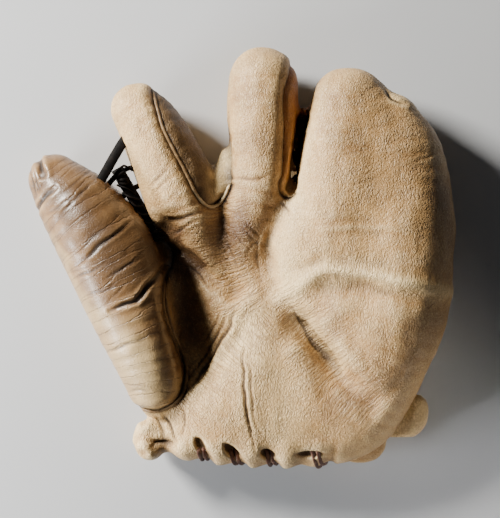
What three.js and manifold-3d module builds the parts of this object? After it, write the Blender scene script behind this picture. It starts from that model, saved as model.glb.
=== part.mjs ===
// Three-finger baseball glove, lying on its back with the palm up. Millimetres, +Z up.
// The thumb points left, the fingers point away along +Y and the heel with its mouth faces -Y.
import * as THREE from 'three';
import { mergeVertices } from 'three/addons/utils/BufferGeometryUtils.js';
import Module from 'manifold-3d';

const wasm = await Module();
wasm.setup();

// Driving dimensions
const OUTER_CELL = [8.6, 13.2, 12]; // spacing of the facets of the padded form along X, Y and Z
const INNER_CELL = [12, 16, 13]; // and of its hollow
const LOWER_FULLNESS = 1.2; // a lobe hangs this much fuller below its middle
const BLEND = 3.5; // how softly one padded lobe runs into the next
const SEAM_HEIGHT = 19; // the side seam between the front leathers and the back
const GAP = 0.32; // clearance between two pieces that touch on the real glove
const WALL_BACK = 3.2; // leather and lining of the back
const WALL_FRONT = 5; // leather, felt and lining of the front
const STRAP_THICK = 3;
const STRAP_WIDE = 26;
const STRAP_BED = STRAP_THICK + GAP; // the back is this much higher where the strap runs under it
const STRAP_BED_START = -74; // Y where the back starts to rise over the strap
const WELT_RADIUS = 1.6;
const LACE_RADIUS = 1.5;
const LOOP_PITCH = 21.3; // from one whip stitch of the heel lace to the next
const LOOP_COUNT = 5;
const LOOP_START = -46; // X of the first whip stitch
const HEM = { start: -112, soft: 14, swell: 1.3 }; // the heel's edge swells between the stitches
const HEEL_LACE = { x: 12, y: -127.5, z: 28.5, reach: 6.6, rise: 7.2, bow: 4, halfLength: 60 };
const REACH = 200; // half the size of a cutting block that passes everything

// The padded lobes: plan place, height of the middle, half width and half height.
const SECTION = ['x', 'y', 'z', 'halfWidth', 'halfHeight'];
const LOBES = {
  thumb: { caps: [17, 18], rows: [
    [-118.4, 49.9, 22, 17, 17],
    [-101.1, 29.4, 27, 25.5, 26],
    [-81.3, 0, 29, 30, 30],
    [-66.5, -33, 28, 29, 29],
    [-56.3, -64, 25, 23.5, 25],
    [-53.1, -82, 22, 18, 20],
  ] },
  index: { caps: [17, 14], rows: [
    [-65.3, 94.7, 26, 17, 18],
    [-52.5, 74.2, 26, 21.8, 24],
    [-41, 49.9, 25, 23, 25],
    [-33.3, 27.5, 22, 22, 23],
    [-22.4, 6, 16, 19, 18],
  ] },
  middle: { caps: [21.8, 14], rows: [
    [14.7, 112.6, 29, 21.8, 22],
    [14.1, 88.3, 29, 22.4, 26],
    [14.1, 62.7, 28, 21.5, 26],
    [10.2, 33.9, 24, 20.5, 24],
    [3.8, 6, 18, 19, 19],
  ] },
  ring: { caps: [21.8, 20], rows: [
    [67.8, 97.3, 31, 21.8, 21],
    [65.9, 69.1, 32, 27, 27],
    [62.7, 37.1, 32, 28, 28],
    [60.8, 8.3, 30, 28, 27],
  ] },
  little: { caps: [14, 16], rows: [
    [99.8, 88.3, 33, 14, 14],
    [103.7, 62.7, 32, 25.6, 24],
    [105.6, 30.7, 32, 30, 28],
    [104.3, -1.3, 32, 31, 29],
    [99.2, -33.3, 31, 32.6, 29],
    [89.6, -65.3, 29, 29.4, 26],
    [73.6, -94.1, 25, 29.4, 21],
    [64, -110, 22, 18, 17],
  ] },
  wideStall: { caps: [20, 20], rows: [
    [71, 98, 31, 22, 20],
    [79, 70, 32, 36, 26],
    [82, 37, 32, 45, 28],
    [84, 4, 31, 47, 27],
    [82, -28, 29, 46, 24],
  ] },
  ringMound: { caps: [16, 18], rows: [
    [44, 24, 28, 24, 22],
    [46, 2, 28, 28, 24],
    [52, -22, 26, 28, 22],
  ] },
  outerMound: { caps: [18, 18], rows: [
    [66, -34, 28, 26, 25],
    [76, -60, 28, 32, 25],
    [76, -86, 25, 28, 22],
  ] },
  heelPad: { caps: [16, 9], rows: [
    [16, -52, 20, 22, 21],
    [12, -74, 22, 34, 23],
    [8, -96, 23, 44, 22],
    [6, -112, 22, 50, 18],
  ] },
  heelRim: { caps: [8, 8], rows: [
    [-58, -116.5, 22, 8, 12],
    [-30, -118.5, 23, 9.5, 13],
    [0, -121, 24, 11, 13],
    [30, -121.5, 24, 10.5, 13],
    [60, -118, 23, 10, 13],
    [82, -108, 22, 9, 12],
  ] },
  cuff: { caps: [7, 7], rows: [
    [48, -115, 11, 9, 11],
    [74, -119, 11, 9, 8],
    [92, -106, 12, 9, 11],
  ] },
  palmCentre: { caps: [18, 22], rows: [
    [-16, 14, 17, 22, 17],
    [-4, -8, 17, 30, 18],
    [12, -30, 18, 40, 19],
    [28, -52, 18, 44, 19],
  ] },
  palmFloor: { caps: [20, 20], rows: [
    [-30, 8, 13, 24, 11],
    [-26, -25, 13, 30, 11],
    [-26, -60, 13, 32, 13],
    [-24, -92, 14, 30, 16],
  ] },
};

// The folds of the front: each runs through its plan points and presses the leather in.
const FOLDS = [
  { name: 'thumb valley', width: 9, depth: 8, path: [
    [-44.8, 16.6], [-41, -2.6], [-38.4, -17.3], [-37.1, -34.6], [-33.3, -51.2], [-28.2, -66.6]] },
  { name: 'index base', width: 6, depth: 7, path: [
    [-39.7, 5.1], [-30.1, -3.8], [-16, -14.1], [-5.1, -20.5]] },
  { name: 'palm line', width: 6, depth: 4, path: [
    [-12.2, 21.1], [-10.9, 7], [-6.4, -7.7], [-1.9, -18.6]] },
  { name: 'heel fold', width: 8, depth: 7, path: [
    [34, -36], [46, -53], [57, -69], [69.8, -81.3], [80, -90]] },
  { name: 'ring slit', width: 3.6, depth: 18, path: [
    [38.4, 88.3], [36.5, 69.1], [33.4, 52], [30.6, 44]] },
  { name: 'ring edge', width: 6, depth: 4, path: [
    [22.4, 29.4], [15.4, 14.1], [14.7, -1.9], [16.6, -15.4]] },
];
const FOLD_START = 22; // the height where a fold starts to bite
const FOLD_SOFT = 3;

// Seams of the front leathers, seen from above.
const THUMB_SEAM = [
  [-42.9, 3.2], [-45.4, -10.2], [-46.7, -25], [-44.2, -39.7], [-40.3, -51.8], [-35.8, -64],
  [-33.9, -73.6], [-35.8, -84.5], [-41, -92.2], [-51.2, -97.3], [-60.8, -96.6], [-69.8, -94.1]];
const INDEX_SEAM = [
  [-55.5, 106.5], [-51.2, 91.5], [-47.4, 80], [-41, 67.2], [-35.8, 57.6], [-31.4, 48.6],
  [-27.5, 40.3], [-23, 34.6], [-18.8, 32.4], [-13.8, 33.9], [-9.6, 39], [-6.4, 46.4]];
const MIDDLE_LEFT_SEAM = [[-5, 54], [-4.6, 68], [-4.6, 88], [-4, 104], [0, 124]];
const MIDDLE_RIGHT_SEAM = [
  [33.9, 124], [31.4, 112.6], [28.8, 105], [28.2, 96.6], [28.8, 82.6], [28.2, 67.8],
  [27.5, 53.8], [24.3, 42.9], [23.4, 34.5], [28.2, 30.4], [33.9, 34.2]];
const RING_LEFT_SEAM = [
  [38.9, 44.8], [39.8, 58.9], [42.4, 69.8], [46, 81.3], [49.4, 96], [53, 106.2], [60, 124]];

const MOUTH = { x: 9, halfWidth: 57, z: 17.5, halfHeight: 10.5, start: -104 };
const BACK_SLIT = { x: 4, halfWidth: 9, start: -48 };

// A smooth run of rows through the given ones, with a few steps from each to the next.
function smoothRows(rows, steps) {
  const last = rows.length - 1;
  const mirrored = (a, b) => a.map((value, k) => 2 * value - b[k]);
  const all = [mirrored(rows[0], rows[1]), ...rows, mirrored(rows[last], rows[last - 1])];
  const run = [];
  for (let i = 0; i < last; i++) {
    for (let s = 0; s < steps; s++) {
      const t = s / steps;
      run.push(rows[0].map((_, k) => {
        const [a, b, c, d] = [all[i][k], all[i + 1][k], all[i + 2][k], all[i + 3][k]];
        const square = 2 * a - 5 * b + 4 * c - d;
        const cube = 3 * b - a - 3 * c + d;
        return 0.5 * (2 * b + (c - a) * t + square * t * t + cube * t * t * t);
      }));
    }
  }
  run.push(rows[last]);
  return run;
}

const asSection = (row) => Object.fromEntries(SECTION.map((name, k) => [name, row[k]]));
const lobes = Object.values(LOBES).map(({ caps, rows }) => (
  { caps, sections: smoothRows(rows, 3).map(asSection) }));
const folds = FOLDS.map((fold) => ({ ...fold, path: smoothRows(fold.path, 4) }));

// About how far a point lies outside one lobe, a chain of elliptic sections.
function lobeDistance(x, y, z, { caps, sections }) {
  let nearest = Infinity;
  const last = sections.length - 2;
  for (let i = 0; i <= last; i++) {
    const [a, b] = [sections[i], sections[i + 1]];
    const length = Math.hypot(b.x - a.x, b.y - a.y);
    const [ux, uy] = [(b.x - a.x) / length, (b.y - a.y) / length];
    const along = (x - a.x) * ux + (y - a.y) * uy;
    const t = Math.min(Math.max(along / length, 0), 1);
    const over = along - t * length;
    const side = (y - a.y) * ux - (x - a.x) * uy;
    const width = a.halfWidth + (b.halfWidth - a.halfWidth) * t;
    const rise = z - a.z - (b.z - a.z) * t;
    const fullness = rise < 0 ? LOWER_FULLNESS : 1;
    const height = (a.halfHeight + (b.halfHeight - a.halfHeight) * t) * fullness;
    const joint = Math.min(width, height);
    const startCap = i === 0 ? caps[0] : joint;
    const endCap = i === last ? caps[1] : joint;
    const cap = over < 0 ? startCap : endCap;
    const k0 = Math.hypot(side / width, over / cap, rise / height);
    const k1 = Math.hypot(side / width ** 2, over / cap ** 2, rise / height ** 2);
    nearest = Math.min(nearest, k1 < 1e-6 ? -joint : k0 * (k0 - 1) / k1);
  }
  return nearest;
}

function pathDistance(x, y, path) {
  let nearest = Infinity;
  for (let i = 0; i + 1 < path.length; i++) {
    const [[ax, ay], [bx, by]] = [path[i], path[i + 1]];
    const [dx, dy] = [bx - ax, by - ay];
    const t = Math.min(Math.max(((x - ax) * dx + (y - ay) * dy) / (dx * dx + dy * dy), 0), 1);
    nearest = Math.min(nearest, Math.hypot(x - ax - t * dx, y - ay - t * dy));
  }
  return nearest;
}

// The padded form: negative inside. The hem of the heel bulges out between the lace's stitches.
function form(x, y, z) {
  let sum = 0;
  for (const lobe of lobes) sum += Math.exp(-lobeDistance(x, y, z, lobe) / BLEND);
  let distance = -BLEND * Math.log(Math.max(sum, 1e-30));
  const lift = 1 / (1 + Math.exp(-(z - FOLD_START) / FOLD_SOFT));
  for (const { width, depth, path } of folds) {
    distance += depth * lift * Math.exp(-((pathDistance(x, y, path) / width) ** 2));
  }
  const hem = Math.min(Math.max((HEM.start - y) / HEM.soft, 0), 1);
  const phase = (x - LOOP_START) / LOOP_PITCH;
  const laced = phase > -1 && phase < LOOP_COUNT ? 1 : 0;
  return distance + HEM.swell * hem * laced * Math.cos(2 * Math.PI * phase);
}

// The hand's hollow: the form less its leather, thicker on the padded front.
function hollow(x, y, z) {
  const front = 1 / (1 + Math.exp(-(z - SEAM_HEIGHT) / FOLD_SOFT));
  return form(x, y, z) + WALL_BACK + (WALL_FRONT - WALL_BACK) * front;
}

// The height of the front leather above a plan point.
function frontHeight(x, y) {
  let high = 80;
  while (high > 0 && form(x, y, high) > 0) high -= 1;
  let low = high;
  high += 1;
  for (let i = 0; i < 12; i++) {
    const middle = (low + high) / 2;
    if (form(x, y, middle) > 0) high = middle;
    else low = middle;
  }
  return low;
}

// Which corners of a cell lie inside together, by its edges: a name for each, or -1 outside.
function groupsOf(values) {
  const group = values.map((value, c) => (value < 0 ? c : -1));
  for (let round = 0; round < 3; round++) {
    for (let a = 0; a < 8; a++) {
      for (const bit of [1, 2, 4]) {
        const b = a ^ bit;
        if (group[a] >= 0 && group[b] >= 0) group[a] = Math.min(group[a], group[b]);
      }
    }
  }
  return group;
}

// A closed net of facets round the space where field is negative.
function netOf(field, low, high, cell) {
  const count = low.map((value, k) => Math.ceil((high[k] - value) / cell[k]) + 1);
  const at = (i, k) => low[k] + i * cell[k];
  const index = (i, j, k) => (i * count[1] + j) * count[2] + k;
  const value = new Float64Array(count[0] * count[1] * count[2]);
  for (let i = 0; i < count[0]; i++) {
    for (let j = 0; j < count[1]; j++) {
      for (let k = 0; k < count[2]; k++) value[index(i, j, k)] = field(at(i, 0), at(j, 1), at(k, 2));
    }
  }
  const corners = [];
  for (let c = 0; c < 8; c++) corners.push([c & 1, (c >> 1) & 1, (c >> 2) & 1]);
  const edges = [];
  for (let a = 0; a < 8; a++) {
    for (const bit of [1, 2, 4]) if (!(a & bit)) edges.push([a, a | bit]);
  }
  // A cell that two sheets cross gets a point for each, told apart by the corners inside.
  const points = [];
  const pointOf = new Map();
  for (let i = 0; i + 1 < count[0]; i++) {
    for (let j = 0; j + 1 < count[1]; j++) {
      for (let k = 0; k + 1 < count[2]; k++) {
        const values = corners.map(([a, b, c]) => value[index(i + a, j + b, k + c)]);
        const group = groupsOf(values);
        for (const own of new Set(group.filter((name) => name >= 0))) {
          const sum = [0, 0, 0];
          let crossings = 0;
          for (const [a, b] of edges) {
            const inside = values[a] < 0 ? a : b;
            if (values[a] < 0 === values[b] < 0 || group[inside] !== own) continue;
            const t = values[a] / (values[a] - values[b]);
            for (let n = 0; n < 3; n++) sum[n] += corners[a][n] + t * (corners[b][n] - corners[a][n]);
            crossings++;
          }
          if (!crossings) continue;
          for (let c = 0; c < 8; c++) {
            if (group[c] === own) pointOf.set(8 * index(i, j, k) + c, points.length / 3);
          }
          points.push(...[i, j, k].map((cellIndex, n) => at(cellIndex + sum[n] / crossings, n)));
        }
      }
    }
  }
  const faces = [];
  const axes = [[1, 0, 0], [0, 1, 0], [0, 0, 1]];
  for (let i = 1; i + 1 < count[0]; i++) {
    for (let j = 1; j + 1 < count[1]; j++) {
      for (let k = 1; k + 1 < count[2]; k++) {
        axes.forEach((step, n) => {
          const here = value[index(i, j, k)];
          const next = value[index(i + step[0], j + step[1], k + step[2])];
          if (here < 0 === next < 0) return;
          const [u, v] = [axes[(n + 1) % 3], axes[(n + 2) % 3]];
          const beyond = here < 0 ? 0 : 1;
          const ring = [[0, 0], [1, 0], [1, 1], [0, 1]].map(([p, q]) => {
            const back = axes[0].map((_, m) => p * u[m] + q * v[m]);
            const corner = back.map((away, m) => away + beyond * step[m]);
            const cellIndex = index(i - back[0], j - back[1], k - back[2]);
            return pointOf.get(8 * cellIndex + corner[0] + 2 * corner[1] + 4 * corner[2]);
          });
          if (here > 0) ring.reverse();
          faces.push(ring[0], ring[1], ring[2], ring[0], ring[2], ring[3]);
        });
      }
    }
  }
  settle(points, field);
  return { points, faces };
}

// Moves each point of a net onto the surface where field is zero.
function settle(points, field) {
  const step = 0.5;
  for (let round = 0; round < 3; round++) {
    for (let i = 0; i < points.length; i += 3) {
      const [x, y, z] = points.slice(i, i + 3);
      const slope = new THREE.Vector3(
        field(x + step, y, z) - field(x - step, y, z),
        field(x, y + step, z) - field(x, y - step, z),
        field(x, y, z + step) - field(x, y, z - step),
      ).divideScalar(2 * step);
      const away = field(x, y, z) / Math.max(slope.lengthSq(), 0.25);
      const move = Math.min(Math.max(away, -2.5), 2.5) * 0.7;
      points[i] -= move * slope.x;
      points[i + 1] -= move * slope.y;
      points[i + 2] -= move * slope.z;
    }
  }
}

function solidOfNet({ points, faces }) {
  const mesh = new wasm.Mesh({
    numProp: 3,
    vertProperties: new Float32Array(points),
    triVerts: new Uint32Array(faces),
  });
  return new wasm.Manifold(mesh);
}

function solidOf(geometry) {
  const bare = geometry.clone();
  bare.deleteAttribute('normal');
  bare.deleteAttribute('uv');
  const merged = mergeVertices(bare, 1e-4);
  const faces = Array.from(merged.index.array);
  return solidOfNet({ points: Array.from(merged.attributes.position.array), faces });
}

function block(low, high) {
  const size = high.map((value, k) => value - low[k]);
  const geometry = new THREE.BoxGeometry(...size);
  geometry.translate(...low.map((value, k) => value + size[k] / 2));
  return solidOf(geometry);
}

const below = (z) => block([-REACH, -REACH, -REACH], [REACH, REACH, z]);
const above = (z) => block([-REACH, -REACH, z], [REACH, REACH, REACH]);

// A prism that stands on a plan outline.
function prism(outline) {
  const shape = new THREE.Shape(outline.map(([x, y]) => new THREE.Vector2(x, y)));
  return solidOf(new THREE.ExtrudeGeometry(shape, { depth: REACH, bevelEnabled: false }));
}

// A thin upright curtain along a plan path, which parts the leather there by a small gap.
function curtain(path) {
  const side = (i, sign) => {
    const [a, b] = [path[Math.max(i - 1, 0)], path[Math.min(i + 1, path.length - 1)]];
    const length = Math.hypot(b[0] - a[0], b[1] - a[1]);
    const away = sign * GAP / 2 / length;
    return [path[i][0] - (b[1] - a[1]) * away, path[i][1] + (b[0] - a[0]) * away];
  };
  const there = path.map((_, i) => side(i, 1));
  const back = path.map((_, i) => side(i, -1)).reverse();
  return prism([...there, ...back]);
}

// A bar of the given section, swept along points.
function swept(section, points, steps) {
  const curve = new THREE.CatmullRomCurve3(points.map((p) => new THREE.Vector3(...p)));
  const shape = new THREE.Shape(section.map(([x, y]) => new THREE.Vector2(x, y)));
  return solidOf(new THREE.ExtrudeGeometry(shape, { steps, extrudePath: curve, bevelEnabled: false }));
}

function round(radius, sides = 6) {
  const section = [];
  for (let i = 0; i < sides; i++) {
    const angle = (2 * Math.PI * i) / sides;
    section.push([radius * Math.cos(angle), radius * Math.sin(angle)]);
  }
  return section;
}

function flat(width, thick) {
  return [[-thick / 2, -width / 2], [thick / 2, -width / 2], [thick / 2, width / 2], [-thick / 2, width / 2]];
}

// The padded body with its hollow, its mouth at the heel and the slit of its back
const outerNet = netOf(form, [-148, -150, -24], [152, 150, 84], OUTER_CELL);
const innerNet = netOf(hollow, [-148, -150, -24], [152, 150, 84], INNER_CELL);
const strapBed = (z) => block([-REACH, -REACH, -REACH], [REACH, STRAP_BED_START, z]);
const outer = solidOfNet(outerNet).subtract(below(0)).subtract(strapBed(STRAP_BED));
const inner = solidOfNet(innerNet).subtract(below(WALL_BACK)).subtract(strapBed(STRAP_BED + WALL_BACK));

const mouthShape = new THREE.Shape();
mouthShape.absellipse(MOUTH.x, MOUTH.z, MOUTH.halfWidth, MOUTH.halfHeight, 0, 2 * Math.PI);
const mouthDepth = { depth: 60, bevelEnabled: false, curveSegments: 7 };
const mouthGeometry = new THREE.ExtrudeGeometry(mouthShape, mouthDepth);
mouthGeometry.rotateX(Math.PI / 2);
mouthGeometry.translate(0, MOUTH.start, 0);
const slitShape = new THREE.Shape();
slitShape.moveTo(BACK_SLIT.x - BACK_SLIT.halfWidth, -REACH);
slitShape.lineTo(BACK_SLIT.x + BACK_SLIT.halfWidth, -REACH);
slitShape.lineTo(BACK_SLIT.x + BACK_SLIT.halfWidth, BACK_SLIT.start);
slitShape.absarc(BACK_SLIT.x, BACK_SLIT.start, BACK_SLIT.halfWidth, 0, Math.PI, false);
const slitDepth = { depth: MOUTH.z, bevelEnabled: false, curveSegments: 6 };
const slit = solidOf(new THREE.ExtrudeGeometry(slitShape, slitDepth));
const shell = outer.subtract(inner).subtract(solidOf(mouthGeometry)).subtract(slit);

// Seams and what runs in them
const WELT_LOW = SEAM_HEIGHT + 2 * WELT_RADIUS; // a welt ends here, above the side seam
const onFront = (path) => smoothRows(path, 2).map(([x, y]) => [x, y, frontHeight(x, y)])
  .filter(([, , z]) => z > WELT_LOW);
const thumbWeltPath = onFront(THUMB_SEAM);
const indexWeltPath = onFront(INDEX_SEAM);
const WELT_STEPS = 18;
const thumbWelt = swept(round(WELT_RADIUS), thumbWeltPath, WELT_STEPS);
const indexWelt = swept(round(WELT_RADIUS), indexWeltPath, WELT_STEPS);
const thumbGroove = swept(round(WELT_RADIUS + GAP), thumbWeltPath, WELT_STEPS);
const indexGroove = swept(round(WELT_RADIUS + GAP), indexWeltPath, WELT_STEPS);

// The whip stitches of the heel lace round the hem
const LOOP_STEPS = 8;
function heelLacePath() {
  const points = [];
  for (let i = 0; i <= LOOP_COUNT * LOOP_STEPS; i++) {
    const turn = i / LOOP_STEPS;
    const angle = 2 * Math.PI * turn;
    const x = LOOP_START + LOOP_PITCH * (turn - 0.25);
    const y = HEEL_LACE.y + HEEL_LACE.bow * (((x - HEEL_LACE.x) / HEEL_LACE.halfLength) ** 2);
    const z = HEEL_LACE.z + HEEL_LACE.rise * Math.sin(angle);
    points.push([x, y - HEEL_LACE.reach * Math.cos(angle), z]);
  }
  return points;
}
const heelLacePoints = heelLacePath();
const heelLace = swept(round(LACE_RADIUS), heelLacePoints, LOOP_COUNT * LOOP_STEPS);
const heelTunnel = swept(round(LACE_RADIUS + GAP), heelLacePoints, LOOP_COUNT * LOOP_STEPS);

// The web between thumb and index finger
const WEB = {
  web_strap: { section: [6, 1.8], path: [[-93, 42, 33], [-85.1, 54.4, 35], [-75.5, 71, 35], [-67, 84, 31]] },
  web_lace_upper: { section: [3.6, 2], path: [[-91, 36, 30], [-81.9, 49, 31], [-74.9, 55, 32], [-60, 62, 29]] },
  web_lace_lower: { section: [3.6, 2], path: [[-86, 27, 27], [-75, 39, 27], [-67, 45, 27], [-54, 50, 25]] },
};
const webPieces = {};
const webTunnels = [];
for (const [name, { section: [wide, thick], path }] of Object.entries(WEB)) {
  webPieces[name] = swept(flat(wide, thick), path, 8);
  webTunnels.push(swept(flat(wide + 2 * GAP, thick + 2 * GAP), path, 8));
}
const KNOT = { place: [-74.2, 49.6, 29.5], halfSize: [4.4, 4.8, 4.6] };
const knotGeometry = new THREE.SphereGeometry(1, 10, 7);
knotGeometry.scale(...KNOT.halfSize);
knotGeometry.translate(...KNOT.place);

// The strap across the back of the wrist: it leaves the side seam, folds under and lies flat
const STRAP_Y = -102;
const strapPath = [
  [97, 16], [107, 15.6], [115, 13], [117.5, 8.5], [113.5, 4.2], [104, 2.1], [94, 1.6], [80, 1.6],
  [20, 1.6], [-52, 1.6],
].map(([x, z]) => [x, STRAP_Y, z]);

const strapSolid = swept(flat(STRAP_THICK, STRAP_WIDE), strapPath, 20);
const strapSlot = swept(flat(STRAP_THICK + 2 * GAP, STRAP_WIDE + 2 * GAP), strapPath, 20);

// The front leathers, parted along their seams
const cutAll = (solid, cutters) => cutters.reduce((rest, cutter) => rest.subtract(cutter), solid);
const thumbCut = [[-100, 76], [-83, 61], [-71, 43], [-61, 27], [-50, 12], ...THUMB_SEAM, [-110, -92]];
const indexCut = [[-62, 130], ...INDEX_SEAM, ...MIDDLE_LEFT_SEAM, [0, 150]];
const ringCut = [[38, 150], ...MIDDLE_RIGHT_SEAM, ...RING_LEFT_SEAM, [60, 150]];

let front = shell.subtract(below(SEAM_HEIGHT + GAP / 2));
front = cutAll(front, [curtain(thumbCut), curtain(indexCut), curtain(ringCut)]);
front = cutAll(front, [thumbGroove, indexGroove, heelTunnel, strapSlot, ...webTunnels]);
const thumbArea = prism([...thumbCut, [-180, -92], [-180, 76]]);
const indexArea = prism(indexCut);
const ringArea = prism(ringCut);
const back = cutAll(shell.subtract(above(SEAM_HEIGHT - GAP / 2)), [heelTunnel, strapSlot, ...webTunnels]);

// The button near the strap's end, its face down
const BUTTON = { x: -40, radius: 6, faceRadius: 4.6, face: 0.3, rim: 1.2, top: 2.9 };
const BUTTON_SIDES = 16;
const buttonProfile = [[0, BUTTON.face], [BUTTON.faceRadius, BUTTON.face], [BUTTON.radius, BUTTON.rim],
  [BUTTON.radius, BUTTON.top], [0, BUTTON.top]];
const button = new THREE.LatheGeometry(buttonProfile.map(([r, z]) => new THREE.Vector2(r, z)), BUTTON_SIDES);
button.rotateX(Math.PI / 2);
button.translate(BUTTON.x, STRAP_Y, 0);
const holeRadius = BUTTON.radius + GAP;
const buttonHole = new THREE.CylinderGeometry(holeRadius, holeRadius, 20, BUTTON_SIDES);
buttonHole.rotateX(Math.PI / 2);
buttonHole.translate(BUTTON.x, STRAP_Y, 0);

const LEATHER = { color: 0xb59a6e, roughness: 0.62 };
const THUMB_LEATHER = { color: 0xa97b4a, roughness: 0.48 };
const GUSSET_LEATHER = { color: 0x9a6c43, roughness: 0.6 };
const DARK_LEATHER = { color: 0x2b211b, roughness: 0.55 };
const LACE_LEATHER = { color: 0x4a3226, roughness: 0.6 };

const pieces = {
  palm_front: [front.subtract(thumbArea).subtract(indexArea).subtract(ringArea), LEATHER],
  thumb_cover: [front.intersect(thumbArea), THUMB_LEATHER],
  index_gusset: [front.intersect(indexArea), GUSSET_LEATHER],
  ring_gusset: [front.intersect(ringArea), GUSSET_LEATHER],
  back_shell: [back, LEATHER],
  thumb_welt: [thumbWelt, DARK_LEATHER],
  index_welt: [indexWelt, DARK_LEATHER],
  heel_lace: [heelLace, LACE_LEATHER],
  web_strap: [webPieces.web_strap, DARK_LEATHER],
  web_lace_upper: [webPieces.web_lace_upper, DARK_LEATHER],
  web_lace_lower: [webPieces.web_lace_lower, DARK_LEATHER],
  web_knot: [cutAll(solidOf(knotGeometry), webTunnels), DARK_LEATHER],
  wrist_strap: [strapSolid.subtract(solidOf(buttonHole)), LEATHER],
  strap_button: [solidOf(button), DARK_LEATHER],
};

// A cut can leave a crumb of a facet beside the piece, so only the largest part is the piece.
function geometryOf(solid) {
  const [piece] = solid.decompose().sort((a, b) => b.volume() - a.volume());
  const { vertProperties, triVerts, numProp } = piece.getMesh();
  const places = [];
  for (let i = 0; i < vertProperties.length; i += numProp) {
    places.push(...vertProperties.slice(i, i + 3));
  }
  const geometry = new THREE.BufferGeometry();
  geometry.setAttribute('position', new THREE.Float32BufferAttribute(places, 3));
  geometry.setIndex(Array.from(triVerts));
  geometry.computeVertexNormals();
  return geometry;
}

const glove = new THREE.Group();
for (const [name, [solid, finish]] of Object.entries(pieces)) {
  const material = new THREE.MeshStandardMaterial({ metalness: 0, ...finish });
  const mesh = new THREE.Mesh(geometryOf(solid), material);
  mesh.name = name;
  glove.add(mesh);
}

// The origin lies on the floor, under the middle of the whole glove's box.
const middle = new THREE.Box3().setFromObject(glove).getCenter(new THREE.Vector3());
glove.position.set(-middle.x, -middle.y, 0);

export default glove;
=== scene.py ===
# %% [markdown]
# This lesson builds an old three-finger baseball glove, lying on its back with the palm up, around
# the plain solid that was drawn for it before. The leather is soft and padded, so its shape is one
# skin over round lobes. We work it out as numbers first, cut it into its leathers along the seams,
# and only then add lacing, piping and the finish. All the sizes below are in millimetres.

# %% Load the plain frame
import math
from itertools import product
import bpy
import numpy as np
import openvdb
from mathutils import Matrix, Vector
from mathutils.bvhtree import BVHTree


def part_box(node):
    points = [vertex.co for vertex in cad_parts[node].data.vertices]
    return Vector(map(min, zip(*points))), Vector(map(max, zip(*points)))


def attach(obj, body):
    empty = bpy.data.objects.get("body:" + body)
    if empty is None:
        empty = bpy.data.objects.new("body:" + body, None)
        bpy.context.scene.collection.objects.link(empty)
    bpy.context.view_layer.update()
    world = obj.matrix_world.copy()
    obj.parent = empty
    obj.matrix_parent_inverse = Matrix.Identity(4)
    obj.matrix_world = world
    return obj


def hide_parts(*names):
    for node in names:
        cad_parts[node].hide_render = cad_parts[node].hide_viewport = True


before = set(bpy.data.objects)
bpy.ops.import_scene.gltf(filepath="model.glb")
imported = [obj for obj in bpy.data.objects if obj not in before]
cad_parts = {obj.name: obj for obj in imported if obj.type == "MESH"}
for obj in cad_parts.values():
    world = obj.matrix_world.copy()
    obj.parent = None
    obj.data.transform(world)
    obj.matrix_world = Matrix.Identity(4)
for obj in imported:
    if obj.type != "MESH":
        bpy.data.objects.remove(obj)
bpy.context.view_layer.update()
button_low, button_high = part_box("strap_button")
STRAP_Y = -102
BUTTON_X = -40
shift = np.array([(button_low[0] + button_high[0]) * 500 - BUTTON_X,
                  (button_low[1] + button_high[1]) * 500 - STRAP_Y, 0])

# %% [markdown]
# A stuffed finger is a chain of ovals. Each row below is one oval: its place in plan, the height of
# its middle, half its width and half its height. The two caps say how far the ends reach. A table
# like this is quick to change when an outline or a bulge is wrong, which a sculpted mesh isn't.

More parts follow.
